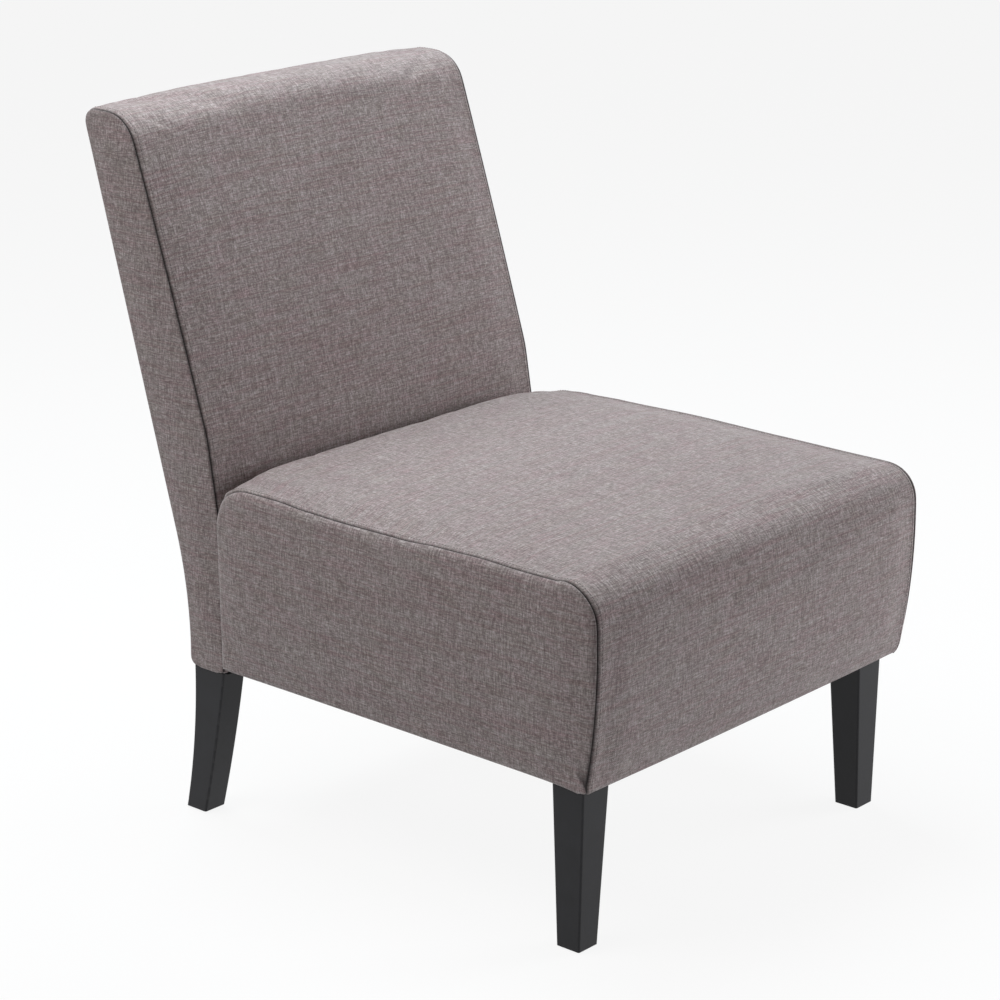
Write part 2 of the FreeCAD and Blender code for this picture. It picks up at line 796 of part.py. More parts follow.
joint_bolts = []
joint_washers = []
joint_nuts = []
for x, z in joint_places:
    seat_washer = inner_rear - washer_thickness
    nut_start = bottom_rail_rear + washer_thickness
    shank_length = nut_start + nut_height + bolt_spare - seat_washer
    head = rod((x, seat_washer - bolt_head_height, z), (0, 1, 0), bolt_head_radius, bolt_head_height)
    shank = rod((x, seat_washer, z), (0, 1, 0), joint_bolt_radius, shank_length)
    joint_bolts.append(head.fuse(shank).removeSplitter())
    joint_washers.append(washer((x, seat_washer, z), (0, 1, 0), joint_bolt_radius))
    joint_washers.append(washer((x, bottom_rail_rear, z), (0, 1, 0), joint_bolt_radius))
    joint_nuts.append(nut((x, nut_start, z), (0, 1, 0), joint_bolt_radius))
save("joint_bolts", Part.makeCompound(joint_bolts))
save("joint_washers", Part.makeCompound(joint_washers))
save("joint_nuts", Part.makeCompound(joint_nuts))

save("seat_front_rail", front_rail)
save("seat_rear_rail", joint_drilled(rear_rail))
save("seat_side_rail_left", side_rail)
save("seat_side_rail_right", flipped(side_rail))
save("seat_frame_dowels", both(Part.makeCompound(seat_dowels)))

# Spring cloth, stapled over the frame
save("spring_cloth", box((-rail_side, rail_front, rail_top), (rail_side, rail_rear, foam_bottom)))

# Seat foam: one crowned block on the spring cloth
foam_depth = cover + ease + wadding + ease
core_half = rail_side - ease


def seat_foam_outline(x):
    return joined(above(inset(seat_wrap(x, foam_bottom, seat_front_hem + hem_flap), foam_depth), foam_bottom))


save("seat_foam", loft(seat_foam_outline, stations(core_half)))

# Seat wadding: one sheet over the top and down the front, and a pad on each side
wadding_foot = seat_hem_height + hem_radius + wadding_lift


def seat_sheet_outline(x):
    path = seat_wrap(x, foam_bottom, seat_front_hem + hem_flap)
    outer = above(inset(path, cover + ease), wadding_foot)
    inner = above(inset(path, cover + ease + wadding), foam_bottom)
    return joined(outer, (rail_front, wadding_foot), (rail_front, foam_bottom), turned(inner))


def seat_pad_outline(x):
    return inset(seat_outline(x), cover + ease, closed=True)


seat_sheet = loft(seat_sheet_outline, stations(core_half))
pad_bulge = seat_side_bulge - cover - ease
seat_pad = loft(seat_pad_outline, (rail_side, seat_half))
seat_pad = seat_pad.fuse(puffed(seat_pad_outline(seat_half), seat_half, pad_bulge, seat_side_draw))
save("seat_wadding", Part.makeCompound([seat_sheet, seat_pad, flipped(seat_pad)]))

# Seat cover, main panel: over the top, down the rolled front and under the front rail
drop_height = foam_bottom - rear_drop


def seat_main_outline(x):
    return band(seat_wrap(x, drop_height, rail_front + hem_flap), 0, cover)


save("seat_cover_main", loft(seat_main_outline, stations(seat_half)))

# Seat cover, side panels: swollen sides sewn to the main panel, with a flap under the side rail
outer_side = puffed(seat_outline(seat_half), seat_half, seat_side_bulge, seat_side_draw)
inner_outline = inset(seat_outline(seat_half), cover, closed=True)
side_panel = outer_side.cut(puffed(inner_outline, seat_half, seat_side_bulge - cover, seat_side_draw))
side_flap = box(
    (rail_side - hem_flap, rail_front + hem_flap + ease, seat_hem_height),
    (seat_half, rail_rear, rail_bottom))
side_panel = side_panel.fuse(side_flap)
save("seat_cover_side_left", side_panel)
save("seat_cover_side_right", flipped(side_panel))

# Dust cover under the seat
dust_cover = box(
    (-rail_side, rail_front, front_leg_height),
    (rail_side, rail_rear, seat_hem_height))
save("dust_cover", drilled(dust_cover, front_bolt, front_leg_height, seat_hem_height))

# Back posts, cut to the line of the back
post_near = post_rear_padding
post_far = post_rear_padding + post_depth
post_line = frame_face(post_bottom, post_top_gap)
cover_inside = slab(inset(back_outline(back_half), cover, closed=True), -back_half, back_half)
post = slab(band(post_line, post_near, post_far), post_inner, post_outer).common(cover_inside)
post = post.cut(rod((*rear_bolt, post_bottom), (0, 0, 1), leg_bolt_radius + fit, leg_bolt_depth))

# Back rails: two raked ones flush with the front of the posts, and an upright one at the bottom
rail_far = post_far
rail_near = post_far - back_rail_thickness


def raked_bar(drop, height, near, far, half_length):
    """A flat bar across the back, square to the rake."""
    corners = (raked(drop + height, near), raked(drop, near), raked(drop, far), raked(drop + height, far))
    outline = [(corners[i], corners[(i + 1) % 4]) for i in range(4)]
    return slab(outline, -half_length, half_length)


top_rail = raked_bar(post_top_gap, top_rail_height, rail_near, rail_far, post_inner)
middle_rail = raked_bar(middle_rail_drop, middle_rail_height, rail_near, rail_far, post_inner)
bottom_rail = box(
    (-post_inner, bottom_rail_front, post_bottom),
    (post_inner, bottom_rail_rear, post_bottom + bottom_rail_height)).common(cover_inside)

# Dowels between the back rails and the posts
rail_middle = (rail_near + rail_far) / 2
dowel_places = []
for end in (back_dowel_inset, bottom_rail_height - back_dowel_inset):
    dowel_places.append((bottom_rail_front + back_rail_thickness / 2, post_bottom + end))
for drop, height in ((post_top_gap, top_rail_height), (middle_rail_drop, middle_rail_height)):
    for end in (back_dowel_inset, height - back_dowel_inset):
        dowel_places.append(raked(drop + end, rail_middle))
back_dowels = []
for place in dowel_places:
    start = (post_inner - dowel_length / 2, *place)
    back_dowels.append(rod(start, (1, 0, 0), dowel_radius, dowel_length))
    hole = dowel_hole(start, (1, 0, 0))
    post = post.cut(hole)
    top_rail = cut(top_rail, hole, flipped(hole))
    middle_rail = cut(middle_rail, hole, flipped(hole))
    bottom_rail = cut(bottom_rail, hole, flipped(hole))
save("back_post_left", post)
save("back_post_right", flipped(post))
save("back_top_rail", top_rail)
save("back_middle_rail", middle_rail)
save("back_bottom_rail", joint_drilled(bottom_rail))
save("back_frame_dowels", both(Part.makeCompound(back_dowels)))

# Webbing straps across the front of the posts, between the top and middle rails
strap_room = middle_rail_drop - post_top_gap - top_rail_height
strap_gap = (strap_room - strap_count * strap_width) / (strap_count + 1)
for number in range(strap_count):
    drop = post_top_gap + top_rail_height + strap_gap + number * (strap_width + strap_gap)
    strap = raked_bar(drop, strap_width, post_far, post_far + strap_thickness, post_outer)
    save("back_strap_" + str(number + 1), strap)

# Liner board on the rear of the posts
liner_face = frame_face(post_bottom + back_hem_radius, liner_drop)
liner_outline = band(liner_face, cover + ease, cover + ease + liner_board)
save("back_liner", slab(liner_outline, -post_outer, post_outer))

# Back foam, over the straps and the top rail
core_back = post_outer - ease
back_foam_start = post_bottom + bottom_rail_height + back_foam_lift
foam_rear = post_far + strap_thickness + ease


def back_foam_outline(x):
    outer = above(inset(back_wrap(x, post_top_gap - ease, hem_flap), foam_depth), back_foam_start)
    rear = above(turned(inset(frame_face(post_bottom, post_top_gap - ease), foam_rear)), back_foam_start)
    return joined(outer, turned(rear))


save("back_foam", loft(back_foam_outline, stations(core_back)))

# Back wadding: one sheet over the front and top, and a pad on each side
back_wadding_foot = back_hem_height + hem_radius + wadding_lift
back_wadding_rear = bottom_rail_front - ease


def back_sheet_outline(x):
    path = back_wrap(x, post_top_gap - ease, hem_flap)
    outer = above(inset(path, cover + ease), back_wadding_foot)
    inner = above(inset(path, cover + ease + wadding), back_foam_start)
    step = ((back_wadding_rear, back_wadding_foot), (back_wadding_rear, back_foam_start))
    return joined(outer, *step, turned(inner))


def back_pad_outline(x):
    return inset(back_outline(x), cover + ease, closed=True)


back_sheet = joint_drilled(loft(back_sheet_outline, stations(core_back)))
back_pad_bulge = back_side_bulge - cover - ease
back_pad = loft(back_pad_outline, (post_outer, back_half))
back_pad = back_pad.fuse(puffed(back_pad_outline(back_half), back_half, back_pad_bulge, back_side_draw))
save("back_wadding", Part.makeCompound([back_sheet, back_pad, flipped(back_pad)]))


# Back cover: main panel over the front and top, rear panel, and swollen side panels
def back_main_outline(x):
    return band(back_wrap(x, back_seam_drop, hem_flap), 0, cover)


save("back_cover_main", joint_drilled(loft(back_main_outline, stations(back_half))))
rear_face = back_rear_face(back_base_depth - hem_flap_rear, back_seam_drop)
save("back_cover_rear", slab(band(rear_face, 0, cover), -back_half, back_half))
back_outer_side = puffed(back_outline(back_half), back_half, back_side_bulge, back_side_draw)
back_inner = inset(back_outline(back_half), cover, closed=True)
back_side = back_outer_side.cut(puffed(back_inner, back_half, back_side_bulge - cover, back_side_draw))
save("back_cover_side_left", back_side)
save("back_cover_side_right", flipped(back_side))

# Cloth under the back, between the leg tops and the hem
under_cloth = box(
    (-post_outer, cover, rear_leg_height),
    (post_outer, back_base_depth - cover, back_hem_height))
save("back_under_cloth", drilled(under_cloth, rear_bolt, rear_leg_height, back_hem_height))
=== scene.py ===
import math

import bpy
import numpy as np
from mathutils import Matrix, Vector


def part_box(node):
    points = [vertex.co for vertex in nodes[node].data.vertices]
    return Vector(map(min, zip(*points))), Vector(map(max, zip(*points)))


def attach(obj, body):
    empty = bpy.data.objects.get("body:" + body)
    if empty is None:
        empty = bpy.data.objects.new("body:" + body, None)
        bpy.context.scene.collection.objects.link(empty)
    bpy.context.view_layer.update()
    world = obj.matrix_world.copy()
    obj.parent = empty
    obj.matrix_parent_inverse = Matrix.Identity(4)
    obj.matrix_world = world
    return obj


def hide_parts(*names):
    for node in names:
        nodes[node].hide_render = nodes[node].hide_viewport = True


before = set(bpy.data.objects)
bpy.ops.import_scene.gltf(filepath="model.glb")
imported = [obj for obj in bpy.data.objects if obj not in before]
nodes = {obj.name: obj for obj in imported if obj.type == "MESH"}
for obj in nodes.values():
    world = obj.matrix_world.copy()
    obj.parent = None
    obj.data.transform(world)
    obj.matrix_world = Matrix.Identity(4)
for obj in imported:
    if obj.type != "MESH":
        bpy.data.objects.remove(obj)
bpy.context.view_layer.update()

# ----------------------------------------
# Legs: four of solid beech, the front pair square and tapered, the rear pair swept back.
# Sprayed near black in satin lacquer, which softens the arrises and shows the grain faintly.
# They are screwed to the frame from below.


def linear(code):
    """An sRGB hex colour as linear RGBA."""
    parts = [int(code[i:i + 2], 16) / 255 for i in (1, 3, 5)]
    return [p / 12.92 if p <= 0.04045 else ((p + 0.055) / 1.055) ** 2.4 for p in parts] + [1.0]


def add(tree, kind, inputs=None, to=None, stops=(), **settings):
    """One node with its settings, and its first output linked to a socket.

    An input is a plain value, an output, or a node whose first output in use is meant; stops
    are a colour ramp's places and hex colours."""
    made = tree.nodes.new(kind)
    for name, value in settings.items():
        setattr(made, name, value)
    for name, value in (inputs or {}).items():
        if isinstance(value, bpy.types.Node):
            value = next(output for output in value.outputs if output.enabled)
        if isinstance(value, bpy.types.NodeSocket):
            tree.links.new(value, made.inputs[name])
        else:
            made.inputs[name].default_value = value
    for number, (place, colour) in enumerate(stops):
        steps = made.color_ramp.elements
        step = steps[number] if number < len(steps) else steps.new(1.0)
        step.position, step.color = place, linear(colour)
    if to is not None:
        tree.links.new(next(output for output in made.outputs if output.enabled), to)
    return made


def new_material(name, colour, roughness, others=()):
    """A material with plain values, its tree and the inputs of its Principled shader."""
    material = bpy.data.materials.new(name)
    material.use_nodes = True
    material.diffuse_color = linear(colour)
    skin = material.node_tree.nodes["Principled BSDF"].inputs
    for socket, value in (("Base Color", linear(colour)), ("Roughness", roughness), *others):
        skin[socket].default_value = value
    return material, material.node_tree, skin


def surface(tree, skin, pattern, stops, relief=None, gloss=None):
    """A pattern's colours, its relief as (strength, metres) and its least and most roughness."""
    add(tree, "ShaderNodeValToRGB", {"Fac": pattern}, skin["Base Color"], stops)
    if relief:
        add(tree, "ShaderNodeBump", {"Height": pattern, "Strength": relief[0], "Distance": relief[1]},
            skin["Normal"])
    if gloss:
        add(tree, "ShaderNodeMapRange", {"Value": pattern, "From Min": 0.3, "From Max": 0.7,
                                         "To Min": gloss[0], "To Max": gloss[1]}, skin["Roughness"])


def dress(material, *names):
    """Gives carried-over nodes their finish."""
    for name in names:
        mesh = nodes[name].data
        mesh.materials.clear()
        mesh.materials.append(material)


black_lacquer, tree, skin = new_material("black_lacquered_beech", "#19191c", 0.36,
                                         [("Specular IOR Level", 0.25)])
place = add(tree, "ShaderNodeTexCoord").outputs["Object"]
# pores run up the leg: about 0.6 mm apart and 15 mm long
stretch = add(tree, "ShaderNodeMapping", {"Vector": place, "Scale": (1650, 1650, 66)})
pores = add(tree, "ShaderNodeTexNoise",
            {"Vector": stretch, "Scale": 1.0, "Detail": 3.0, "Roughness": 0.6})
mottle = add(tree, "ShaderNodeTexNoise", {"Vector": place, "Scale": 38.0, "Detail": 2.0})
dark = add(tree, "ShaderNodeValToRGB", {"Fac": mottle}, stops=((0.3, "#151518"), (0.7, "#1c1c20")))
pale = add(tree, "ShaderNodeValToRGB", {"Fac": mottle}, stops=((0.3, "#1a1a1e"), (0.7, "#232327")))
add(tree, "ShaderNodeMix", {"Factor": pores, "A": dark, "B": pale}, skin["Base Color"],
    data_type="RGBA", blend_type="MIX")
# arrises show a little softer, where the lacquer runs over them
edge = add(tree, "ShaderNodeBevel", {"Radius": 0.0016}, samples=4)
add(tree, "ShaderNodeBump", {"Height": pores, "Normal": edge, "Strength": 0.22, "Distance": 0.0003},
    skin["Normal"])
add(tree, "ShaderNodeMapRange", {"Value": mottle, "From Min": 0.3, "From Max": 0.7,
                                 "To Min": 0.32, "To Max": 0.42}, skin["Roughness"])
dress(black_lacquer, "front_leg_left", "front_leg_right", "rear_leg_left", "rear_leg_right")

# ----------------------------------------
# Foot glides: discs of black moulded polyethylene, each driven into a foot on its own pin.
# Moulded plastic with a fine matt grain, scuffed where it slides on the floor.
glide_plastic, tree, skin = new_material("black_polyethylene", "#1b1b1c", 0.55)
place = add(tree, "ShaderNodeTexCoord").outputs["Object"]
# the grain is 0.7 mm across and the scuffs 4 mm
grain = add(tree, "ShaderNodeTexNoise", {"Vector": place, "Scale": 1400.0, "Detail": 2.0})
scuff = add(tree, "ShaderNodeTexNoise", {"Vector": place, "Scale": 260.0, "Detail": 4.0})
surface(tree, skin, scuff, ((0.45, "#19191a"), (0.75, "#3a3a3b")))
add(tree, "ShaderNodeBump", {"Height": grain, "Strength": 0.3, "Distance": 0.0001}, skin["Normal"])
dress(glide_plastic, "foot_glide_front_left", "foot_glide_front_right",
      "foot_glide_rear_left", "foot_glide_rear_right")

# ----------------------------------------
# Fastenings: hanger bolts, washers, nuts, screws and nails of zinc-plated steel.
# Bright bluish plating with the blur of barrel plating, faintly clouded.
zinc, tree, skin = new_material("zinc_plated_steel", "#b9bdc1", 0.32, [("Metallic", 1.0)])
place = add(tree, "ShaderNodeTexCoord").outputs["Object"]
# clouds are 2.4 mm across
cloud = add(tree, "ShaderNodeTexNoise", {"Vector": place, "Scale": 420.0, "Detail": 3.0})
surface(tree, skin, cloud, ((0.35, "#a9adb2"), (0.65, "#c9ccce")), gloss=(0.24, 0.42))
dress(zinc, "front_leg_bolts", "front_leg_washers", "front_leg_nuts", "rear_leg_screws",
      "corner_block_screws", "spring_clip_nails", "spring_clips", "joint_bolts", "joint_washers",
      "joint_nuts")

# ----------------------------------------
# Seat and back frames: rails, posts, blocks and dowels of sawn poplar, glued and screwed.
# Pale wood with straight growth rings 3 mm apart, and the fuzz of a bandsaw on its faces.


def sawn_wood(name, along):
    """Sawn poplar whose grain runs along X, Y or Z."""
    wood, tree, skin = new_material(name, "#c9ab82", 0.7)
    place = add(tree, "ShaderNodeTexCoord").outputs["Object"]
    # rings are 3 mm apart and 20 times as long, fibres 0.4 mm apart and 17 mm long
    rings, fibres = [330.0] * 3, [2400.0] * 3
    rings[along], fibres[along] = 16.0, 60.0
    grain = add(tree, "ShaderNodeMapping", {"Vector": place, "Scale": rings})
    wander = add(tree, "ShaderNodeTexNoise",
                 {"Vector": grain, "Scale": 1.0, "Detail": 4.0, "Distortion": 0.4})
    fine = add(tree, "ShaderNodeMapping", {"Vector": place, "Scale": fibres})
    fuzz = add(tree, "ShaderNodeTexNoise", {"Vector": fine, "Scale": 1.0, "Detail": 2.0})
    colour = add(tree, "ShaderNodeValToRGB", {"Fac": wander},
                 stops=((0.3, "#b58f62"), (0.5, "#cdb088"), (0.75, "#dcc6a2")))
    shade = add(tree, "ShaderNodeValToRGB", {"Fac": fuzz}, stops=((0.3, "#b9a58a"), (0.6, "#ffffff")))
    add(tree, "ShaderNodeMix", {"Factor": 0.35, "A": colour, "B": shade}, skin["Base Color"],
        data_type="RGBA", blend_type="MULTIPLY")
    add(tree, "ShaderNodeBump", {"Height": fuzz, "Strength": 0.4, "Distance": 0.0002}, skin["Normal"])
    return wood


wood_across = sawn_wood("poplar_grain_across", 0)
wood_deep = sawn_wood("poplar_grain_front_to_back", 1)
wood_upright = sawn_wood("poplar_grain_upright", 2)
dress(wood_across, "seat_front_rail", "seat_rear_rail", "back_top_rail", "back_middle_rail",
      "back_bottom_rail", "back_frame_dowels")
dress(wood_deep, "seat_side_rail_left", "seat_side_rail_right", "seat_frame_dowels")
dress(wood_upright, "corner_block_front_left", "corner_block_front_right", "corner_block_rear_left",
      "corner_block_rear_right", "back_post_left", "back_post_right")

# ----------------------------------------
# Seat springs: five zigzag springs and two tie wires of drawn, oil-tempered steel wire.
# Blue-grey scale with a little rust; the springs hook into clips on the rails.
spring_steel, tree, skin = new_material("oil_tempered_spring_steel", "#4a4c50", 0.42,
                                        [("Metallic", 1.0)])
place = add(tree, "ShaderNodeTexCoord").outputs["Object"]
# patches of scale are 3 mm across
scale = add(tree, "ShaderNodeTexNoise", {"Vector": place, "Scale": 310.0, "Detail": 5.0})
surface(tree, skin, scale, ((0.35, "#3c3e43"), (0.6, "#56585c"), (0.75, "#6a5d50")),
        gloss=(0.32, 0.55))
dress(spring_steel, "spring_tie_wire_1", "spring_tie_wire_2",
      *["seat_spring_" + str(number) for number in range(1, 6)])

# ----------------------------------------
# Webbing, lining and board: jute-coloured polypropylene webbing across the back posts, grey
# spunbond over the springs, and a hardboard liner nailed to the rear of the posts.


def crossed_weave(tree, vector, pitch):
    """Plain weave from two crossed waves, pitch metres apart; its heights run from 0 to 1."""
    apart = add(tree, "ShaderNodeSeparateXYZ", {"Vector": vector})
    waves = []
    for axis in ("X", "Y"):
        angle = add(tree, "ShaderNodeMath", {0: apart.outputs[axis], 1: math.pi / pitch},
                    operation="MULTIPLY")
        waves.append(add(tree, "ShaderNodeMath", {0: angle}, operation="SINE"))
    crossed = add(tree, "ShaderNodeMath", {0: waves[0], 1: waves[1]}, operation="MULTIPLY")
    return add(tree, "ShaderNodeMath", {0: crossed, 1: 0.5, 2: 0.5}, operation="MULTIPLY_ADD")


webbing, tree, skin = new_material("woven_polypropylene_webbing", "#6b5a45", 0.6)
place = add(tree, "ShaderNodeTexCoord").outputs["Object"]
# the webbing lies across X and up Z, so its weave reads those two
flat = add(tree, "ShaderNodeSeparateXYZ", {"Vector": place}).outputs
across = add(tree, "ShaderNodeCombineXYZ", {"X": flat["X"], "Y": flat["Z"]})
weave = crossed_weave(tree, across, 0.0025)
surface(tree, skin, weave, ((0.2, "#4a3d2e"), (0.8, "#8a7658")), (0.6, 0.0006))
dress(webbing, "back_strap_1", "back_strap_2", "back_strap_3")

hardboard, tree, skin = new_material("tempered_hardboard", "#6d4a30", 0.62)
place = add(tree, "ShaderNodeTexCoord").outputs["Object"]
# clumps of fibre are 1.1 mm across
fibre = add(tree, "ShaderNodeTexNoise", {"Vector": place, "Scale": 900.0, "Detail": 6.0})
surface(tree, skin, fibre, ((0.35, "#573a25"), (0.65, "#83603f")), (0.3, 0.0002))
dress(hardboard, "back_liner")


def spunbond(name, colour, dark):
    """Non-woven polypropylene: bonded dots 1.6 mm apart on a felt of fine fibres."""
    lining, tree, skin = new_material(name, colour, 0.85)
    place = add(tree, "ShaderNodeTexCoord").outputs["Object"]
    dots = add(tree, "ShaderNodeTexVoronoi", {"Vector": place, "Scale": 625.0, "Randomness": 0.25})
    felt = add(tree, "ShaderNodeTexNoise", {"Vector": place, "Scale": 1500.0, "Detail": 4.0})
    surface(tree, skin, felt, ((0.3, dark), (0.7, colour)))
    add(tree, "ShaderNodeBump", {"Height": dots, "Strength": 0.5, "Distance": 0.0003}, skin["Normal"])
    return lining


spring_lining = spunbond("grey_spunbond", "#8c8b88", "#6c6b69")
dress(spring_lining, "spring_cloth")

# ----------------------------------------
# Foam and wadding: blocks of cream polyurethane foam under a layer of white polyester fibre.
# Foam shows its open cells about 1 mm across, and wadding a tangle of fine fibres.
foam_yellow, tree, skin = new_material("polyurethane_foam", "#e3d9a6", 0.95)
place = add(tree, "ShaderNodeTexCoord").outputs["Object"]
cells = add(tree, "ShaderNodeTexVoronoi", {"Vector": place, "Scale": 950.0})
surface(tree, skin, cells, ((0.1, "#b9ab75"), (0.5, "#ebe2b4")), (0.5, 0.0005))

fibre_white, tree, skin = new_material("polyester_fibre", "#f0f0ec", 0.9, [("Sheen Weight", 0.4)])
place = add(tree, "ShaderNodeTexCoord").outputs["Object"]
# tufts are 4 mm across
tangle = add(tree, "ShaderNodeTexNoise",
             {"Vector": place, "Scale": 240.0, "Detail": 6.0, "Distortion": 2.5})
surface(tree, skin, tangle, ((0.3, "#dedfdc"), (0.6, "#f4f4f1")), (0.6, 0.0012))

# ----------------------------------------
# Upholstery cloth: a linen-look plain weave of melange polyester, taupe grey with paler slubs
# both ways. Every panel of the seat and the back is cut from it, with its warp upright.
cloth, tree, skin = new_material("melange_linen_weave", "#968e8e", 0.92, [
    ("Sheen Weight", 0.25), ("Sheen Roughness", 0.45), ("Specular IOR Level", 0.25)])
flat = add(tree, "ShaderNodeUVMap", uv_map="cloth_metres")


def streaks(width, length, upright, detail, offset):
    """Noise drawn out into threads of a width and length in millimetres."""
    scale = (1000 / width, 1000 / length, 1) if upright else (1000 / length, 1000 / width, 1)
    drawn = add(tree, "ShaderNodeMapping", {"Vector": flat, "Scale": scale,
                                            "Location": (offset, offset * 0.37, offset * 0.11)})
    return add(tree, "ShaderNodeTexNoise",
               {"Vector": drawn, "Scale": 1.0, "Detail": detail, "Roughness": 0.55})


# threads are 0.8 mm apart, drawn at 1.4 mm so that they show at this distance
warp = streaks(1.4, 8.0, True, 2.0, 3.1)
weft = streaks(1.4, 8.0, False, 2.0, 7.7)
slub_up = streaks(1.3, 30.0, True, 1.0, 21.3)
slub_across = streaks(1.3, 30.0, False, 1.0, 34.9)
# specks of loose fibre are 1.9 mm across
speckle = add(tree, "ShaderNodeTexNoise",
              {"Vector": flat, "Scale": 520.0, "Detail": 2.0, "Roughness": 0.6})
threads = add(tree, "ShaderNodeMath", {0: warp, 1: weft}, operation="ADD")
slubs = add(tree, "ShaderNodeMath", {0: slub_up, 1: slub_across}, operation="ADD")
tone = add(tree, "ShaderNodeMath", {0: speckle, 1: 0.30}, operation="MULTIPLY")
tone = add(tree, "ShaderNodeMath", {0: slubs, 1: 0.12, 2: tone}, operation="MULTIPLY_ADD")
tone = add(tree, "ShaderNodeMath", {0: threads, 1: 0.34, 2: tone}, operation="MULTIPLY_ADD")
colour = add(tree, "ShaderNodeValToRGB", {"Fac": tone}, stops=(
    (0.46, "#6a605f"), (0.56, "#827877"), (0.62, "#938a89"), (0.68, "#a69d9c"), (0.78, "#c2baba")))
# dye lots of the melange drift between pinkish and greenish grey, patches of about 30 mm
drift = add(tree, "ShaderNodeTexNoise",
            {"Vector": flat, "Scale": 34.0, "Detail": 3.0, "Roughness": 0.6})
cast = add(tree, "ShaderNodeValToRGB", {"Fac": drift},
           stops=((0.36, "#f7f6f3"), (0.5, "#f9f8f7"), (0.64, "#fbf5f6")))
# single weft yarns show as faint rosy bars, about 2.5 mm high and up to 90 mm long
bars = add(tree, "ShaderNodeValToRGB", {"Fac": streaks(2.5, 90.0, False, 1.0, 51.3)},
           stops=((0.45, "#ffffff"), (0.66, "#f6eaec")))
for tint in (cast, bars):
    colour = add(tree, "ShaderNodeMix", {"Factor": 1.0, "A": colour, "B": tint},
                 data_type="RGBA", blend_type="MULTIPLY")
# painted shade: the cloth is darkened over the last millimetre beside a seam, where the crease
# between the turned edges lies in shade
painted_seam_shade = add(tree, "ShaderNodeAttribute", attribute_name="seam_shade").outputs["Fac"]
add(tree, "ShaderNodeMix", {"Factor": painted_seam_shade, "A": colour, "B": linear("#1f1b1b")},
    skin["Base Color"], data_type="RGBA", blend_type="MIX")
# the weave's own ribs are 1.1 mm apart, and paler threads stand out
height = add(tree, "ShaderNodeMath", {0: crossed_weave(tree, flat, 0.0011), 1: 0.35, 2: tone},
             operation="MULTIPLY_ADD")
add(tree, "ShaderNodeBump", {"Height": height, "Strength": 0.55, "Distance": 0.0011}, skin["Normal"])

# ----------------------------------------
# Seat cover: a main panel over the top and down the rolled front, and two side panels sewn to
# it. The seams are plain, pressed open, with the side panels swelling round the edge.
# Sizes are in millimetres from the floor and from the line where the seat meets the back.
JOINT = 177.9135  # from that line to the middle of the footprint
seat_half, seat_top, seat_crown = 280.0, 410.4, 4.0
front_y, front_rake, front_crown = -553, 16.5, 2.6
top_radius, front_radius, hem_radius = 30, 38, 6
lean_y, lean_z, lean_rise = 16.6, 355.8, 100.2  # the back's front leans lean_y over lean_rise
# grid lines lie close together beside the seams, as distances and as angles of the swelling
seam_columns = (0, 0.7, 1.6, 3, 5, 8, 12, 17, 23)
column_pitch = 5.2
seam_angles = (0, 5, 12, 20, 30, 42, 55, 70, 90)
ring_pitch = 5.5
cloth_thickness, lining_thickness = 1.5, 0.6


def unit(vector):
    return vector / np.linalg.norm(vector)


def rounded_line(corners, side_steps, arc_steps):
    """A side view through corners (y, z, radius, bow of the next side), in even steps."""
    at = [np.array(corner[:2], float) for corner in corners]
    line, start = [at[0]], at[0]
    for i in range(1, len(at)):
        end, inner = at[i], i + 1 < len(at)
        if inner:
            come, go = unit(at[i] - at[i - 1]), unit(at[i + 1] - at[i])
            left = np.sign(come[0] * go[1] - come[1] * go[0]) or 1.0
            turn = math.acos(np.clip(come @ go, -1, 1))
            radius = corners[i][2]
            end = at[i] - come * radius * math.tan(turn / 2)
        run = end - start
        out = unit(np.array([run[1], -run[0]]))
        for step in range(1, side_steps[i - 1] + 1):
            t = step / side_steps[i - 1]
            line.append(start + run * t + out * corners[i - 1][3] * 4 * t * (1 - t))
        if inner:
            pivot = end + np.array([-come[1], come[0]]) * left * radius
            spoke = end - pivot
            for step in range(1, arc_steps[i - 1] + 1):
                angle = left * turn * step / arc_steps[i - 1]
                c, s = math.cos(angle), math.sin(angle)
                line.append(pivot + [spoke[0] * c - spoke[1] * s, spoke[0] * s + spoke[1] * c])
            start = line[-1]
    return np.array(line)


def eased(line, passes):
    """The same line with its small kinks smoothed out, ends kept."""
    line = line.copy()
    for _ in range(passes):
        line[1:-1] = (line[:-2] + 2 * line[1:-1] + line[2:]) / 4
    return line


def columns(half):
    """Places across a panel, close together beside the seams."""
    inner = half - seam_columns[-1]
    count = round(2 * inner / column_pitch)
    middle = np.linspace(-inner, inner, count + 1)[1:-1]
    edge = np.array(seam_columns, float)
    return np.concatenate([edge - half, middle, (half - edge)[::-1]])


def smooth(value, low, high):
    t = np.clip((value - low) / (high - low), 0, 1)
    return t * t * (3 - 2 * t)


hem_front, hem_rear = 185.7, 192.3
# heights of the hem, and the rise and fall of the two top seams, from front to rear
hem_heights = [(-560, hem_front), (-533, 185.9), (-505, 188.0), (-420, 189.3), (-278, 190.8),
               (-129, 192.0), (0, hem_rear)]
near_waves = [(-560, 1), (-540, 0), (-508, 3.2), (-494, 1), (-449, 0.8), (-398, 2.2), (-339, 1),
              (-287, -1.8), (-200, -2.2), (-150, -1.2), (-100, 1.6), (-60, 1.6), (-20, 0)]
far_waves = [(-560, 0), (-520, -1), (-473, -1), (-361, -0.4), (-245, 0.8), (-124, -1.4), (-74, -3),
             (-45, -4), (0, -5)]


def seat_hem(y):
    """The hem droops at the front corners and rises towards the rear."""
    at, height = np.array(hem_heights).T
    return np.interp(y, at, height)


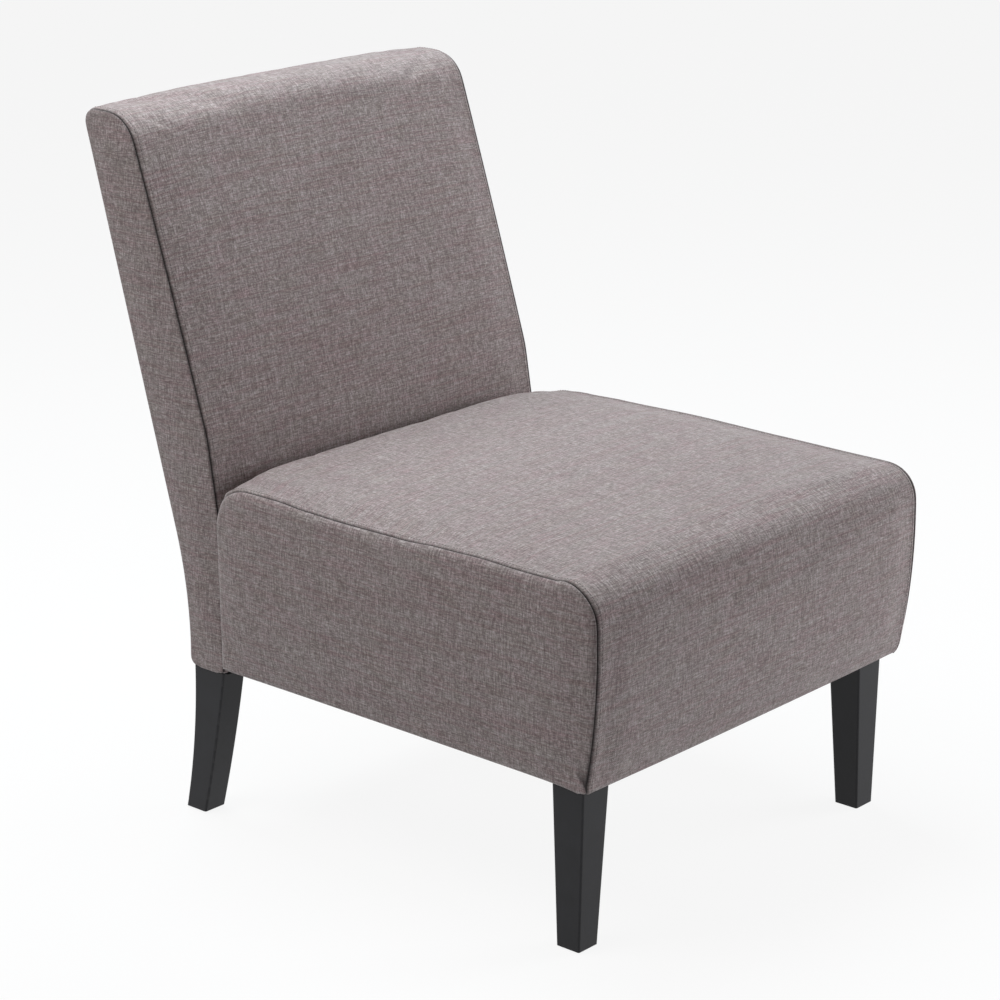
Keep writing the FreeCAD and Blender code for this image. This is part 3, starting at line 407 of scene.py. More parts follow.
def seat_profile(x):
    """The main panel's side view, up behind the seat, over the top and down to under the hem.

    The middle is crowned, and towards the sides the rear is rounder and clears the back."""
    swell = 1 - (abs(x) / seat_half) ** 2.6
    top = seat_top + seat_crown * swell
    lean = lean_y * (top - lean_z) / lean_rise
    rear_radius = top_radius + 16 * max(0.0, (abs(x) - 200) / 80) ** 1.5
    shift = 8 * max(0.0, (abs(x) - 235) / 45) ** 2
    low_shift = 6 * max(0.0, (abs(x) - 274) / 6) ** 2
    front = front_y - front_crown * swell
    corners = [
        (-low_shift, 300, 0, 0),
        (-low_shift, lean_z, 40, 0),
        (lean - shift, top, rear_radius, 3 * swell),
        (front, top, front_radius, 5),
        (front + front_rake, hem_front, hem_radius, 0),
        (-505, 191.2, 0, 0)]
    return eased(rounded_line(corners, (8, 4, 88, 33, 5), (4, 14, 14, 5)), 4)


def wave(y, places):
    """A seam's rise and fall, smoothed between the places where it was measured."""
    at, rise = np.array(places, float).T
    index = np.clip(np.searchsorted(at, y) - 1, 0, len(at) - 2)
    t = smooth(y, at[index], at[index + 1])
    return rise[index] * (1 - t) + rise[index + 1] * t


def seam_drift(x, y, z, half):
    """How far a top seam wanders up or down, fading away from it."""
    near = np.exp(-(half + x) / 26) * wave(y, near_waves)
    far = np.exp(-(half - x) / 60) * wave(y, far_waves)
    return (near + far) * smooth(z, 330, 400)


def groove(distance):
    """Depth of the crease beside a seam, with the turned edges as a low ridge behind it."""
    dip = 2.3 * np.exp(-(distance / 1.25) ** 1.3)
    ridge = 0.35 * np.exp(-((distance - 5.0) / 2.6) ** 2)
    return dip - ridge


def wide_panel(half, profile):
    """Points of a wide panel by column and row, from its side view at each column."""
    across = columns(half)
    rows = np.array([profile(x) for x in across])
    return np.concatenate([np.repeat(across[:, None, None], rows.shape[1], 1), rows], 2)


seat_main = wide_panel(seat_half, seat_profile)
seat_main[..., 2] += seam_drift(seat_main[..., 0], seat_main[..., 1], seat_main[..., 2], seat_half)


def line_normals(points):
    """Outward normals of side-view lines, to the right of their direction."""
    run = np.gradient(points[..., 1:], axis=-2)
    out = np.stack([np.zeros(run.shape[:-1]), run[..., 1], -run[..., 0]], -1)
    return out / np.linalg.norm(out, axis=-1, keepdims=True)


def seam_x(y, z, half, hem):
    """A seam stands at the half width, and draws in under the hem and behind the seat."""
    under_hem = (7.0 - 3.0 * smooth(-y, 470, 530)) * (1 - smooth(z, hem, hem + 14))
    behind = 6.8 * smooth(y, -24, -7) * (1 - smooth(z, 386, 408))
    return half - np.maximum(under_hem, behind)


seat_main[..., 0] *= seam_x(seat_main[..., 1], seat_main[..., 2], seat_half, hem_front) / seat_half


def spine_of(ends, pitch):
    """The middle line of a side panel, from one end to the other, as evenly placed points."""
    run = np.array(ends, float)
    steps = np.linalg.norm(np.diff(run, axis=0), axis=1)
    along = np.concatenate([[0], np.cumsum(steps)])
    even = np.linspace(0, along[-1], max(2, int(np.sum(steps) / pitch)) + 1)
    return np.stack([np.interp(even, along, run[:, 0]), np.interp(even, along, run[:, 1])], 1)


def side_rings(loop, spine, width, rise, base, flap):
    """Rings from a panel's turned-in edge over its outline (y, z) to its spine.

    width is how far the swelling reaches, rise how far it stands out of the seam, base(y, z)
    the panel's place across the chair away from its edges, and flap how far the outline's
    points are turned in, with the y and z that they are turned to."""
    gap = np.linalg.norm(loop[:, None] - spine[None], axis=2)
    target = spine[np.argmin(gap, axis=1)]
    reach = np.linalg.norm(target - loop, axis=1)
    inward = (target - loop) / reach[:, None]
    low = base(loop[:, 0], loop[:, 1]) - rise
    rings, arcs = [], []
    turned_in, turned_to = flap
    for share in (1.0, 0.5, 0.06):
        rings.append(np.column_stack([low - turned_in * share, turned_to]))
        arcs.append(np.where(turned_in > 0, 10.0 + 20.0 * share, 0.0))
    for angle in np.radians(seam_angles):
        place = loop + inward * (width * (1 - math.cos(angle)))[:, None]
        x = low + (base(place[:, 0], place[:, 1]) - low) * math.sin(angle)
        rings.append(np.column_stack([x, place]))
        arcs.append(rise * math.sin(angle))
    steps = int(np.ceil((reach - width).min() / ring_pitch))
    for step in range(1, steps + 1):
        depth = width + (reach - width) * step / steps
        place = loop + inward * depth[:, None] if step < steps else target
        rings.append(np.column_stack([base(place[:, 0], place[:, 1]), place]))
        arcs.append(rise + depth)
    return np.array(rings), np.array(arcs)


def seat_side_x(y, z):
    """The seat's side swells out most at three quarters of its height."""
    up = np.clip((z - hem_front) / (340 - hem_front), 0, 1)
    ends = smooth(-y, 0, 70) * smooth(y + 553, 0, 70)
    return 279.6 + 7.6 * np.sin(up * math.pi / 2) ** 0.8 + 1.2 * ends * np.sin(up * math.pi / 2)


# a side panel's outline: up the rear, over the top and down the front, and back along the hem
seat_seam = seat_main[-1]
hem_last = len(seat_seam) - 6
rear_z = np.linspace(seat_hem(0.0), 300, 22)
rear_foot = np.stack([np.full(22, seat_seam[0, 1]), rear_z], 1)[:-1]
hem_y = np.linspace(seat_seam[hem_last, 1], seat_seam[0, 1], 104)[1:-1]
hem_line = np.stack([hem_y, seat_hem(hem_y)], 1)


def seat_side(seam):
    """Rings of one side panel, from the main panel's seam on that side."""
    loop = np.concatenate([rear_foot, seam[:hem_last + 1, 1:], hem_line])
    at_hem = 1 - smooth(loop[:, 1], 190, 203)
    width = 16.0 - 8.0 * at_hem - 2.0 * smooth(loop[:, 0], -30, -10) * (1 - at_hem)
    rise = seat_side_x(loop[:, 0], loop[:, 1]) - seam_x(loop[:, 0], loop[:, 1], seat_half, hem_front)
    spine = spine_of([(-445, 300), (-108, 300)], 8.0)
    # turned under the side rail along the hem, and in behind it up the rear
    at_rear = np.zeros(len(loop))
    at_rear[:len(rear_foot)] = 1
    under_rail = np.zeros(len(loop))
    under_rail[len(rear_foot) + hem_last + 1:] = 1
    turned_to = loop.copy()
    turned_to[under_rail > 0, 1] = 191.1
    turned_to[at_rear > 0, 0] = -0.3
    flap = (20.0 * np.maximum(under_rail, at_rear), turned_to)
    return side_rings(loop, spine, width, rise, seat_side_x, flap)


def sink(points, normals, distance):
    """Moves points in by the depth of the seam's crease."""
    return points - normals * groove(distance)[..., None]


def placed(name, data):
    """A new object in the scene."""
    made = bpy.data.objects.new(name, data)
    bpy.context.scene.collection.objects.link(made)
    return made


def metres(points):
    """Points in the frame's metres."""
    return [(p[0] / 1000, (p[1] + JOINT) / 1000, p[2] / 1000) for p in points]


def mesh_piece(name, points, faces, material, uvs=None, shade=None):
    """A smooth mesh object in metres, with its cloth map and the painted shade beside its seams."""
    mesh = bpy.data.meshes.new(name)
    mesh.from_pydata(metres(points), [], faces)
    if uvs is not None:
        layer = mesh.uv_layers.new(name="cloth_metres")
        loops = np.zeros(len(mesh.loops), int)
        mesh.loops.foreach_get("vertex_index", loops)
        layer.data.foreach_set("uv", (np.asarray(uvs)[loops] / 1000).ravel())
    if shade is not None:
        attribute = mesh.attributes.new("seam_shade", "FLOAT", "POINT")
        attribute.data.foreach_set("value", np.asarray(shade, float))
    mesh.polygons.foreach_set("use_smooth", [True] * len(mesh.polygons))
    mesh.materials.append(material)
    return placed(name, mesh)


def grid_faces(wide, long):
    """Quads of a grid that runs wide by long, facing outwards for columns from -X to +X."""
    i, j = np.meshgrid(np.arange(wide - 1), np.arange(long - 1), indexing="ij")
    a = (i * long + j).ravel()
    return np.stack([a, a + 1, a + long + 1, a + long], 1).tolist()


def ring_faces(count, around, turned):
    """Quads between closed rings of points, count rings of around points each."""
    i, j = np.meshgrid(np.arange(count - 1), np.arange(around), indexing="ij")
    a, b = (i * around + j).ravel(), (i * around + (j + 1) % around).ravel()
    quads = np.stack([a, b, b + around, a + around], 1)
    return (quads[:, ::-1] if turned else quads).tolist()


def welded(points, faces):
    """Points that fall together are made one, and faces keep at least three corners.

    Returns the kept points, the faces, and for each old point its new number."""
    _, first, number = np.unique(np.round(points, 2), axis=0, return_index=True, return_inverse=True)
    number = number.ravel()
    closed = []
    for face in faces:
        corners = [number[v] for v in face]
        corners = [v for i, v in enumerate(corners) if v != corners[i - 1]]
        if len(set(corners)) == len(corners) >= 3:
            closed.append(corners)
    return points[first], closed, number


frame_count, most_moved = 20, 3.0


def filled_out(points, faces, loose):
    """The sewn cover blown out over its padding by a cloth simulation.

    loose is nought at seams and hems, which stay, and one well away from them; no point
    moves more than most_moved mm."""
    kept, closed, number = welded(points, faces)
    mesh = bpy.data.meshes.new("simulated cover")
    mesh.from_pydata((kept / 1000).tolist(), [], closed)
    cover = placed("simulated cover", mesh)
    pins = cover.vertex_groups.new(name="held")
    free = np.ones(len(kept))
    np.minimum.at(free, number, loose)
    pins.add(np.nonzero(free < 0.02)[0].tolist(), 1.0, "REPLACE")
    fabric = cover.modifiers.new("cloth", "CLOTH")
    for name, value in dict(quality=6, mass=0.15, tension_stiffness=12, compression_stiffness=12,
                            shear_stiffness=6, bending_stiffness=0.4, use_pressure=True,
                            uniform_pressure_force=4.0, vertex_group_mass="held",
                            shrink_min=-0.012).items():
        setattr(fabric.settings, name, value)
    fabric.settings.effector_weights.gravity = 0.0
    scene = bpy.context.scene
    fabric.point_cache.frame_start, fabric.point_cache.frame_end = 1, frame_count
    for step in range(1, frame_count + 1):
        scene.frame_set(step)
    depsgraph = bpy.context.evaluated_depsgraph_get()
    moved = np.zeros(len(kept) * 3)
    cover.evaluated_get(depsgraph).data.vertices.foreach_get("co", moved)
    moved = moved.reshape(-1, 3) * 1000
    bpy.data.objects.remove(cover)
    scene.frame_set(1)
    step = moved - kept
    size = np.linalg.norm(step, axis=1, keepdims=True)
    limited = (step * free[:, None] * most_moved * np.tanh(size / most_moved)
               / np.maximum(size, 1e-6))
    return (kept + limited)[number]


def along_lengths(panel):
    """Length run along each line of a panel, from its first point."""
    steps = np.linalg.norm(np.diff(panel, axis=1), axis=2)
    return np.concatenate([np.zeros((len(panel), 1)), np.cumsum(steps, 1)], 1)


def seam_shade(distance):
    """How much painted shade darkens the cloth: most in the seam, and none 3 mm from it."""
    return np.exp(-(np.asarray(distance) / 1.5) ** 2)


def main_panel(name, panel, half, shift):
    """A wide panel, creased beside its side seams, with its warp along its length."""
    lengths = along_lengths(panel).mean(0)
    across = columns(half)
    uv = np.stack([np.repeat((across + shift)[:, None], panel.shape[1], 1),
                   np.repeat(lengths[None], len(panel), 0)], -1)
    depth = np.repeat((half - np.abs(across))[:, None], panel.shape[1], 1)
    points = sink(panel, line_normals(panel), depth)
    return mesh_piece(name, points.reshape(-1, 3), grid_faces(*panel.shape[:2]), cloth,
                      uv.reshape(-1, 2), seam_shade(depth).ravel())


def side_panel(name, rings, arcs, outward, shift):
    """A side panel, creased where it is sewn; outward is zero where it isn't."""
    sewn = np.linalg.norm(outward, axis=1)
    points = rings - outward[None] * groove(arcs)[..., None]
    faces = ring_faces(*rings.shape[:2], rings[0, :, 0].mean() < 0)
    kept, closed, number = welded(points.reshape(-1, 3), faces)
    shade = np.zeros(len(kept))
    shade[number] = (seam_shade(arcs) * sewn[None]).ravel()
    uv = np.stack([kept[:, 1] + shift, kept[:, 2]], 1)
    return mesh_piece(name, kept, closed, cloth, uv, shade)


def baked(piece):
    """Applies a piece's modifiers to its mesh."""
    depsgraph = bpy.context.evaluated_depsgraph_get()
    finished = bpy.data.meshes.new_from_object(piece.evaluated_get(depsgraph), depsgraph=depsgraph)
    piece.modifiers.clear()
    old, piece.data = piece.data, finished
    bpy.data.meshes.remove(old)
    finished.name = piece.name


def sheet_piece(piece, node, thickness=cloth_thickness):
    """A finished sheet: its thickness, and the part it replaces."""
    wall = piece.modifiers.new("cloth thickness", "SOLIDIFY")
    wall.thickness = thickness / 1000
    wall.offset = -1.0
    baked(piece)
    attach(piece, "root")
    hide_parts(node)


# each side panel follows the seam on its side, and both lie the same way round
rings_left, seat_arcs = seat_side(seat_main[-1])
rings_right, _ = seat_side(seat_main[0])
rings_right[..., 0] *= -1


def sewn_and_filled(grids, left, right, loose):
    """All panels of a cover sewn together, simulated, and taken apart again."""
    parts = [*grids, left, right]
    faces, start, starts = [], 0, []
    for number, part in enumerate(parts):
        if number < len(grids):
            quads = grid_faces(*part.shape[:2])
        else:
            quads = ring_faces(*part.shape[:2], part is right)
        faces += (np.array(quads) + start).tolist()
        starts.append(start)
        start += part.shape[0] * part.shape[1]
    points = filled_out(np.concatenate([part.reshape(-1, 3) for part in parts]), faces,
                        np.concatenate([share.ravel() for share in loose]))
    return [points[at:at + part.shape[0] * part.shape[1]].reshape(part.shape)
            for at, part in zip(starts, parts)]


def beside_seams(half, rows):
    """Nought beside the side seams of a wide panel, rising to one at 50 mm."""
    return np.repeat(smooth(half - np.abs(columns(half)), 6, 50)[:, None], rows, 1)


# held at the seams and hems; the rear face rests on the back and the frame
row = np.arange(seat_main.shape[1])
loose_main = (beside_seams(seat_half, len(row)) * smooth(row, 9, 16)
              * smooth(len(row) - 1 - row, 9, 16))
loose_side = smooth(seat_arcs, 10, 55) * smooth(rings_left[..., 2], hem_rear + 3, hem_rear + 14)
loose_side *= smooth(-rings_left[..., 1], 12, 30)
loose_side[:4] = 0
seat_main, rings_left, rings_right = sewn_and_filled(
    [seat_main], rings_left, rings_right, [loose_main, loose_side, loose_side])


def lofted(name, sections, material):
    """A closed shape through like outlines, each a closed line of points."""
    count, around = sections.shape[:2]
    faces = ring_faces(count, around, False)
    faces.append(list(range(around))[::-1])
    faces.append([(count - 1) * around + i for i in range(around)])
    return mesh_piece(name, sections.reshape(-1, 3), faces, material)


def under(panel, depth):
    """A panel's points moved in under it."""
    return panel - line_normals(panel) * depth


def pad_points(rings, outer, inner_x):
    """A side pad: its swollen outside under the panel, its flat inside against the frame."""
    skin = rings[11:].copy()
    sign = np.sign(rings[-1, 0, 0])
    skin[..., 0] -= sign * outer
    flat = skin.copy()
    flat[..., 0] = sign * inner_x
    points = np.concatenate([flat[::-1], skin]).reshape(-1, 3)
    kept, faces, _ = welded(points, ring_faces(2 * len(skin), rings.shape[1], sign < 0))
    return kept, faces


def padding(piece, node):
    """A finished padded piece, put in place of the part it replaces."""
    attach(piece, "root")
    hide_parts(node)


def wadding(name, node, outer, inner, sides, pad_inside):
    """Fibre wadding in one piece: a sheet over the foam, and a pad inside each side panel."""
    sheet = lofted("sheet", np.concatenate([outer, inner[:, ::-1]], 1), fibre_white)
    points = [np.array([v.co for v in sheet.data.vertices]) * 1000 - np.array([0, JOINT, 0])]
    faces = [list(f.vertices) for f in sheet.data.polygons]
    for rings in sides:
        kept, closed = pad_points(rings, 2.4, pad_inside)
        start = sum(len(part) for part in points)
        points.append(kept)
        faces += [[v + start for v in face] for face in closed]
    bpy.data.objects.remove(sheet)
    padding(mesh_piece(name, np.concatenate(points), faces, fibre_white), node)


# the foam and the top wadding lie under the middle columns, within the side pads
core = slice(9, -9)
foam_depth, wadding_depth, foam_bottom = 10.0, 2.2, 339.0
top_rows = [r for r in range(13, 150) if seat_main[:, r, 2].min() > 350]
foam_top = under(seat_main[core], foam_depth)[:, top_rows[0]:top_rows[-1] + 1]
foam_foot = foam_top[:, [-1, 0]].copy()
foam_foot[..., 2] = foam_bottom
foam = lofted("seat_foam_block", np.concatenate([foam_top, foam_foot], 1), foam_yellow)
padding(foam, "seat_foam")
sheet_rows = [r for r in range(13, 166) if seat_main[:, r, 2].min() > 205]
sheet_rows = slice(sheet_rows[0], sheet_rows[-1] + 1)
sheet_out, sheet_in = (under(seat_main[core], depth)[:, sheet_rows]
                       for depth in (wadding_depth, 9.4))
wadding("seat_fibre_wadding", "seat_wadding", sheet_out, sheet_in, (rings_left, rings_right), 270.9)

seat_panel = main_panel("seat_main_panel", seat_main, seat_half, 0.0)
sheet_piece(seat_panel, "seat_cover_main")
seat_normals = line_normals(seat_main)
for side_name, rings, edge, shift in (("left", rings_left, -1, 1500),
                                      ("right", rings_right, 0, -1500)):
    outward = np.zeros((rings.shape[1], 3))
    outward[len(rear_foot):len(rear_foot) + hem_last + 1] = seat_normals[edge][:hem_last + 1]
    panel = side_panel("seat_side_panel_" + side_name, rings, seat_arcs, outward, shift)
    sheet_piece(panel, "seat_cover_side_" + side_name)

# Topstitching: a row of polyester thread on the main panel beside each side seam, which holds
# the turned edges down. Stitches show about 3 mm long with a millimetre between them.
thread, tree, skin = new_material("spun_polyester_thread", "#564e4d", 0.7)
place = add(tree, "ShaderNodeTexCoord").outputs["Object"]
# the plies of the thread twist about 0.4 mm apart
plies = add(tree, "ShaderNodeTexNoise", {"Vector": place, "Scale": 2400.0, "Detail": 1.0})
surface(tree, skin, plies, ((0.4, "#453e3d"), (0.6, "#655c5a")))


def topstitched(name, paths):
    """Stitches along paths of points, as one plain mesh."""
    points, edges = [], []
    for path in paths:
        edges += [(len(points) + i, len(points) + i + 1) for i in range(len(path) - 1)]
        points += metres(path)
    mesh = bpy.data.meshes.new(name)
    mesh.from_pydata(points, edges, [])
    piece = placed(name, mesh)
    group = bpy.data.node_groups.new(name, "GeometryNodeTree")
    group.interface.new_socket("Seam Lines", in_out="INPUT", socket_type="NodeSocketGeometry")
    sizes = {"Stitch Pitch": 0.0040, "Stitch Length": 0.0030, "Thread Thickness": 0.0007}
    for label in sizes:
        group.interface.new_socket(label, in_out="INPUT", socket_type="NodeSocketFloat")
    group.interface.new_socket("Stitches", in_out="OUTPUT", socket_type="NodeSocketGeometry")
    given = group.nodes.new("NodeGroupInput").outputs
    lines = add(group, "GeometryNodeMeshToCurve", {"Mesh": given["Seam Lines"]})
    spots = add(group, "GeometryNodeCurveToPoints", {"Curve": lines, "Length": given["Stitch Pitch"]},
                mode="LENGTH").outputs
    bead = add(group, "GeometryNodeMeshUVSphere", {"Segments": 6, "Rings": 6, "Radius": 0.5})
    thick = given["Thread Thickness"]
    size = add(group, "ShaderNodeCombineXYZ", {"X": thick, "Y": thick, "Z": given["Stitch Length"]})
    row = add(group, "GeometryNodeInstanceOnPoints", {
        "Points": spots["Points"], "Instance": bead, "Rotation": spots["Rotation"], "Scale": size})
    real = add(group, "GeometryNodeRealizeInstances", {"Geometry": row})
    add(group, "GeometryNodeSetMaterial", {"Geometry": real, "Material": thread},
        group.nodes.new("NodeGroupOutput").inputs["Stitches"])
    sewing = piece.modifiers.new("stitches", "NODES")
    sewing.node_group = group
    for item in group.interface.items_tree:
        if item.in_out == "INPUT" and item.name in sizes:
            sewing[item.identifier] = sizes[item.name]
    baked(piece)
    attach(piece, "root")


def stitch_path(panel, edge, rows):
    """Six millimetres in from a panel's side seam, with the thread half sunk in the cloth."""
    near, far = (4, 5) if edge == 0 else (-5, -6)
    place = panel[near] * 2 / 3 + panel[far] / 3
    lift = line_normals(panel)[near] * 0.3
    return (place + lift)[rows]


seat_stitch_rows = slice(14, hem_last - 2)
topstitched("seat_topstitching", [stitch_path(seat_main, edge, seat_stitch_rows) for edge in (0, -1)])

# ----------------------------------------
# Back cover: a main panel up the front and over the top, a rear panel below it, and a narrow
# side panel down each side, all of the same cloth.
# The rear face rises from base_y and is raked above bend_z; frame_y is the frame's own rear.
back_half, back_crown, back_height, back_top = 268.0, 6.5, 802.6, 803.6
bend_z, base_y, frame_y = 274.2, 55.0, 52.7
rake = math.radians(15.66)
front_slope = math.tan(math.radians(17.9))
lumbar_z = 456.0
rear_reach = base_y + (back_top - bend_z) * math.tan(rake)
back_hem = 181.0
rear_seam = 30  # how far down the rear face the main panel meets the rear panel


def raked(drop):
    """A place (y, z) on the rear face, drop below its top."""
    return rear_reach - drop * math.sin(rake), back_top - drop * math.cos(rake)


def back_profile(x):
    """The main panel's side view, from the rear seam over the top and down the front."""
    swell = 1 - (abs(x) / back_half) ** (4.6 if x > 0 else 3.2)
    flatter = 1 - (abs(x) / back_half) ** 6
    rise = back_crown * swell
    height = back_height + rise
    front_top = lean_y + (height - lumbar_z) * front_slope
    corners = [
        (*raked(rear_seam), 0, 0),
        (rear_reach + rise * math.tan(rake), height, 15, 0),
        (front_top, height, 45, 1 + 6 * flatter),
        (lean_y, lumbar_z, 120, 0),
        (0, lean_z, 120, 0),
        (0, back_hem, hem_radius, 0),
        (20, back_hem + 0.4, 0, 0)]
    return eased(rounded_line(corners, (3, 5, 56, 15, 32, 3), (8, 14, 5, 5, 5)), 3)


def rear_profile(x):
    """The rear panel's side view, from under the hem up to the rear seam, the same all across."""
    corners = [(26, back_hem + 0.4, 0, 0), (base_y, back_hem, 10, 0), (base_y, bend_z, 500, 0),
               (*raked(rear_seam), 0, 0)]
    return eased(rounded_line(corners, (4, 6, 74), (6, 24)), 2)


back_main = wide_panel(back_half, back_profile)
back_rear = wide_panel(back_half, rear_profile)
back_rear[:, -1] = back_main[:, 0]


def back_side_x(y, z):
    """The back's side is flat."""
    return np.full(len(y), 271.0)


front_last = back_main.shape[1] - 4
rear_first = 4
front_line = back_main[-1, :front_last + 1]
rear_line = back_rear[-1, rear_first:]
foot_y = np.linspace(front_line[-1, 1], rear_line[0, 1], 8)[1:-1]
foot_line = np.stack([foot_y, np.full(6, back_hem)], 1)
back_loop = np.concatenate([front_line[:, 1:], foot_line, rear_line[:-1, 1:]])
levels = np.linspace(214, 770, 30)
front_at = np.interp(-levels, -front_line[10:, 2], front_line[10:, 1])
rear_at = np.interp(levels, rear_line[:, 2], rear_line[:, 1])
back_spine = spine_of(np.stack([(front_at + rear_at) / 2, levels], 1)[::-1], 8.0)

turned_to = back_loop.copy()
turned_to[back_loop[:, 1] < back_hem + 0.6, 1] = back_hem + 0.5
flap = (18.0 * (turned_to[:, 1] != back_loop[:, 1]), turned_to)
back_left, back_arcs = side_rings(back_loop, back_spine, np.full(len(back_loop), 8.0),
                                  np.full(len(back_loop), 3.0), back_side_x, flap)
back_right = back_left * np.array([-1, 1, 1])

# the rear panel is drawn tight over its board, and the foot of the main panel is behind the seat
row = np.arange(back_main.shape[1])
loose_front = (beside_seams(back_half, len(row)) * smooth(row, 1, 8)
               * smooth(back_main[..., 2], 385, 410))
loose_edge = smooth(back_arcs, 5, 24) * smooth(back_left[..., 2], 195, 215)
loose_edge[:4] = 0
back_main, back_rear, back_left, back_right = sewn_and_filled(
    [back_main, back_rear], back_left, back_right,
    [loose_front, np.zeros(back_rear.shape[:2]), loose_edge, loose_edge])


def raked_in(drop, depth):
    """A point down the rear face of the back's frame and into the back."""
    y, z = raked(drop)
    return y + frame_y - base_y - depth * math.cos(rake), z + depth * math.sin(rake)


top_rows = [r for r in range(3, 100) if back_main[:, r, 2].min() > 345]
foam_front = under(back_main[core], foam_depth)[:, 2:top_rows[-1] + 1]
# the pad's rear lies on the webbing, and its top end on the top rail
rear_depth, rail_drop, rail_depth = 49.9, 39.6, 11
foam_back = [raked_in(drop, rear_depth) for drop in (475, 400, 300, 200, 120, rail_drop)]
foam_back.append(raked_in(rail_drop, rail_depth))
foam_back = np.array([[(x, y, z) for y, z in foam_back] for x in foam_front[:, 0, 0]])
foam = lofted("back_foam_pad", np.concatenate([foam_front, foam_back], 1), foam_yellow)
padding(foam, "back_foam")
sheet_rows = [r for r in range(3, 140) if back_main[:, r, 2].min() > 198]
sheet_rows = slice(2, sheet_rows[-1] + 1)
skin = back_main[core]
# the wadding thins out from 9.4 to 4.4 mm where the back goes down behind the seat
thin = 4.4 + 5.0 * smooth(skin[..., 2], 322, 352)
sheet_out = under(skin, wadding_depth)[:, sheet_rows]
sheet_in = under(skin, thin[..., None])[:, sheet_rows]
wadding("back_fibre_wadding", "back_wadding", sheet_out, sheet_in, (back_left, back_right), 262.4)

back_panel = main_panel("back_main_panel", back_main, back_half, 3000.0)
sheet_piece(back_panel, "back_cover_main")
rear_panel = main_panel("back_rear_panel", back_rear, back_half, 4000.0)
sheet_piece(rear_panel, "back_cover_rear")
for side_name, rings, edge, shift in (("left", back_left, -1, 5500), ("right", back_right, 0, -5500)):
    outward = np.zeros((rings.shape[1], 3))
    outward[:front_last + 1] = line_normals(back_main)[edge][:front_last + 1]
    outward[len(front_line) + 6:] = line_normals(back_rear)[edge][rear_first:-1]
    panel = side_panel("back_side_panel_" + side_name, rings, back_arcs, outward, shift)
    sheet_piece(panel, "back_cover_side_" + side_name)

back_stitch_rows = slice(4, int(np.argmax(back_main[0, :, 2] < 395)))
topstitched("back_topstitching", [stitch_path(back_main, edge, back_stitch_rows) for edge in (0, -1)])

# ----------------------------------------
# Dust cover and back lining: black spunbond cut to size, its edges turned in and stapled up
# to the frame between the legs. It hangs a little slack between its staples.
lining_black = spunbond("black_spunbond", "#232324", "#151516")


def lining(name, node, low, high, level, sag):
    """A thin sheet that hangs by sag in its middle, with shallow drag lines along its edges."""
    wide, long = (max(8, round((high[i] - low[i]) / 8)) for i in (0, 1))
    u, v = np.meshgrid(np.linspace(0, 1, wide + 1), np.linspace(0, 1, long + 1), indexing="ij")
    x, y = low[0] + u * (high[0] - low[0]), low[1] + v * (high[1] - low[1])
    hang = np.sin(u * math.pi) * np.sin(v * math.pi)
    ripple = 0.25 * np.sin(x / 9.0) * np.exp(-np.minimum(v, 1 - v) * 16) * np.minimum(hang * 12, 1)
    z = level - sag * hang ** 0.7 + ripple
    points = np.stack([x, y, z], -1).reshape(-1, 3)
    faces = np.array(grid_faces(wide + 1, long + 1))[:, ::-1].tolist()
    sheet_piece(mesh_piece(name, points, faces, lining_black), node,
                thickness=lining_thickness)


for name, node, sag in (("seat_dust_cover", "dust_cover", 3.5),
                        ("back_lining", "back_under_cloth", 0.4)):
    corner_low, corner_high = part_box(node)
    low, high = ((corner.x * 1000, corner.y * 1000 - JOINT) for corner in (corner_low, corner_high))
    lining(name, node, low, high, corner_low.z * 1000, sag)

# ----------------------------------------
# The studio: a pale floor under a white surround, large soft boxes to the right of the chair,
# before it and behind it, and the camera at the height of a standing eye.
def seen_directly(tree):
    """One where the camera, a reflection or a transmission looks, and nought where light falls."""
    path = add(tree, "ShaderNodeLightPath").outputs
    seen = path["Is Camera Ray"]
    for other in ("Is Glossy Ray", "Is Transmission Ray"):
        seen = add(tree, "ShaderNodeMath", {0: seen, 1: path[other]}, operation="MAXIMUM")
    return seen


white, tree, skin = new_material("studio_floor", "#e8e8e8", 0.9)
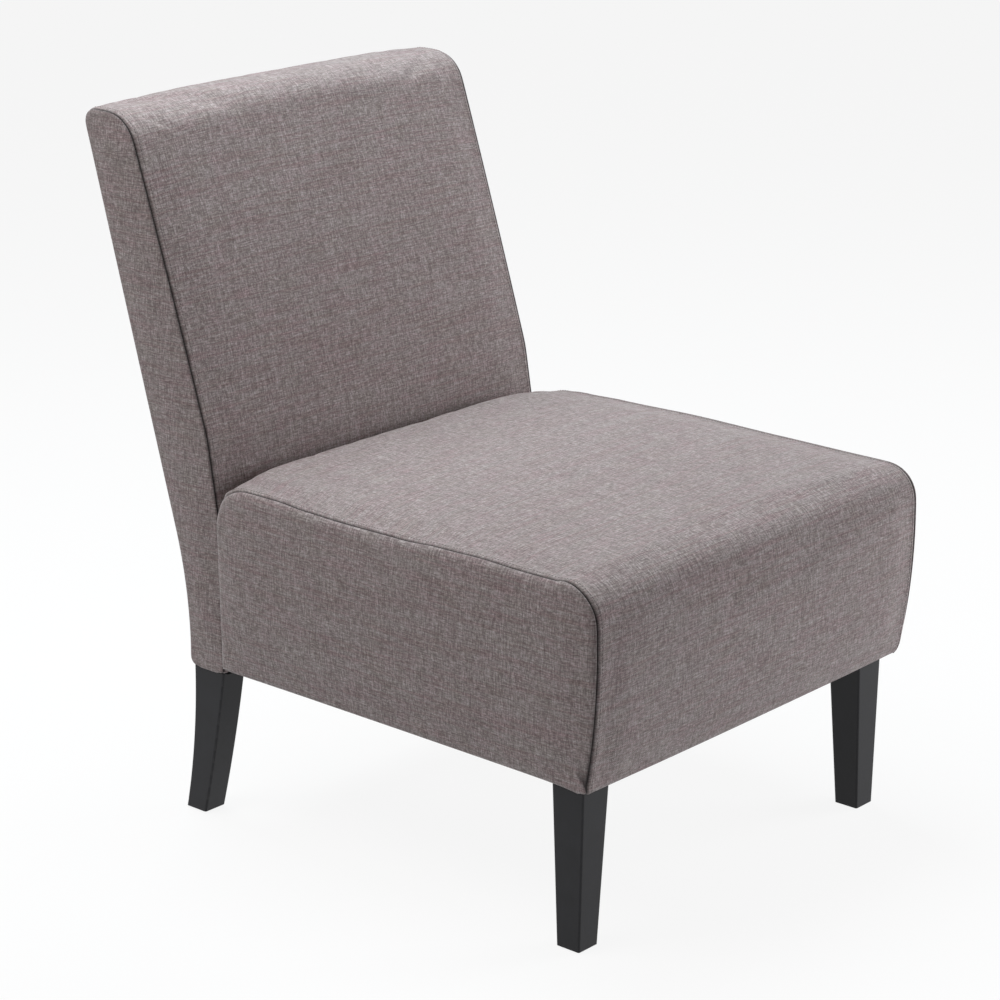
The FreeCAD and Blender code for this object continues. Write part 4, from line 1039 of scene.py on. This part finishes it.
# seen directly, the floor is mostly even white, and the rest of it keeps the chair's shadow
even = add(tree, "ShaderNodeMath", {0: seen_directly(tree), 1: 0.9}, operation="MULTIPLY")
glow = add(tree, "ShaderNodeEmission", {"Color": (1, 1, 1, 1), "Strength": 1.0})
add(tree, "ShaderNodeMixShader", {0: even, 1: tree.nodes["Principled BSDF"], 2: glow},
    tree.nodes["Material Output"].inputs["Surface"])
floor_mesh = bpy.data.meshes.new("studio_floor")
floor_mesh.from_pydata([(-9, -9, 0), (9, -9, 0), (9, 9, 0), (-9, 9, 0)], [], [(0, 1, 2, 3)])
floor_mesh.materials.append(white)
placed("studio_floor", floor_mesh)

world = bpy.data.worlds.new("studio")
bpy.context.scene.world = world
world.use_nodes = True
tree = world.node_tree
background = tree.nodes["Background"].inputs
add(tree, "ShaderNodeMapRange", {"Value": seen_directly(tree), "To Min": 0.06, "To Max": 1.0},
    background["Strength"])
background["Color"].default_value = (1, 1, 1, 1)


def facing(name, data, target, azimuth, elevation, distance):
    """A lamp or a camera that faces a target; azimuth 0 stands before the chair, 90 on its left."""
    a, e = math.radians(azimuth), math.radians(elevation)
    back = Vector((math.sin(a) * math.cos(e), -math.cos(a) * math.cos(e), math.sin(e)))
    made = placed(name, data)
    made.location = Vector(target) + back * distance
    made.rotation_euler = (-back).to_track_quat("-Z", "Y").to_euler()
    return made


def soft_box(name, azimuth, elevation, distance, size, power, colour):
    """A square soft box that faces the chair's middle."""
    lamp = bpy.data.lights.new(name, "AREA")
    lamp.size, lamp.energy, lamp.color = size, power, colour
    facing(name, lamp, (0, 0, 0.4), azimuth, elevation, distance)


soft_box("soft_box_right_high", -112, 55, 2.6, 1.4, 36, (1.0, 0.975, 0.965))
soft_box("soft_box_left_low", 55, 9, 3.0, 1.4, 61, (0.98, 0.98, 1.0))
soft_box("soft_box_behind_high", 165, 68, 2.2, 1.4, 53, (0.87, 0.96, 1.0))

aim = (-0.1083, -0.0926, 0.4065)
camera = facing("camera", bpy.data.cameras.new("camera"), aim, -48.84, 17.70, 3.3696)
camera.data.lens = 111.9
bpy.context.scene.camera = camera
bpy.context.scene.view_settings.view_transform = "Standard"
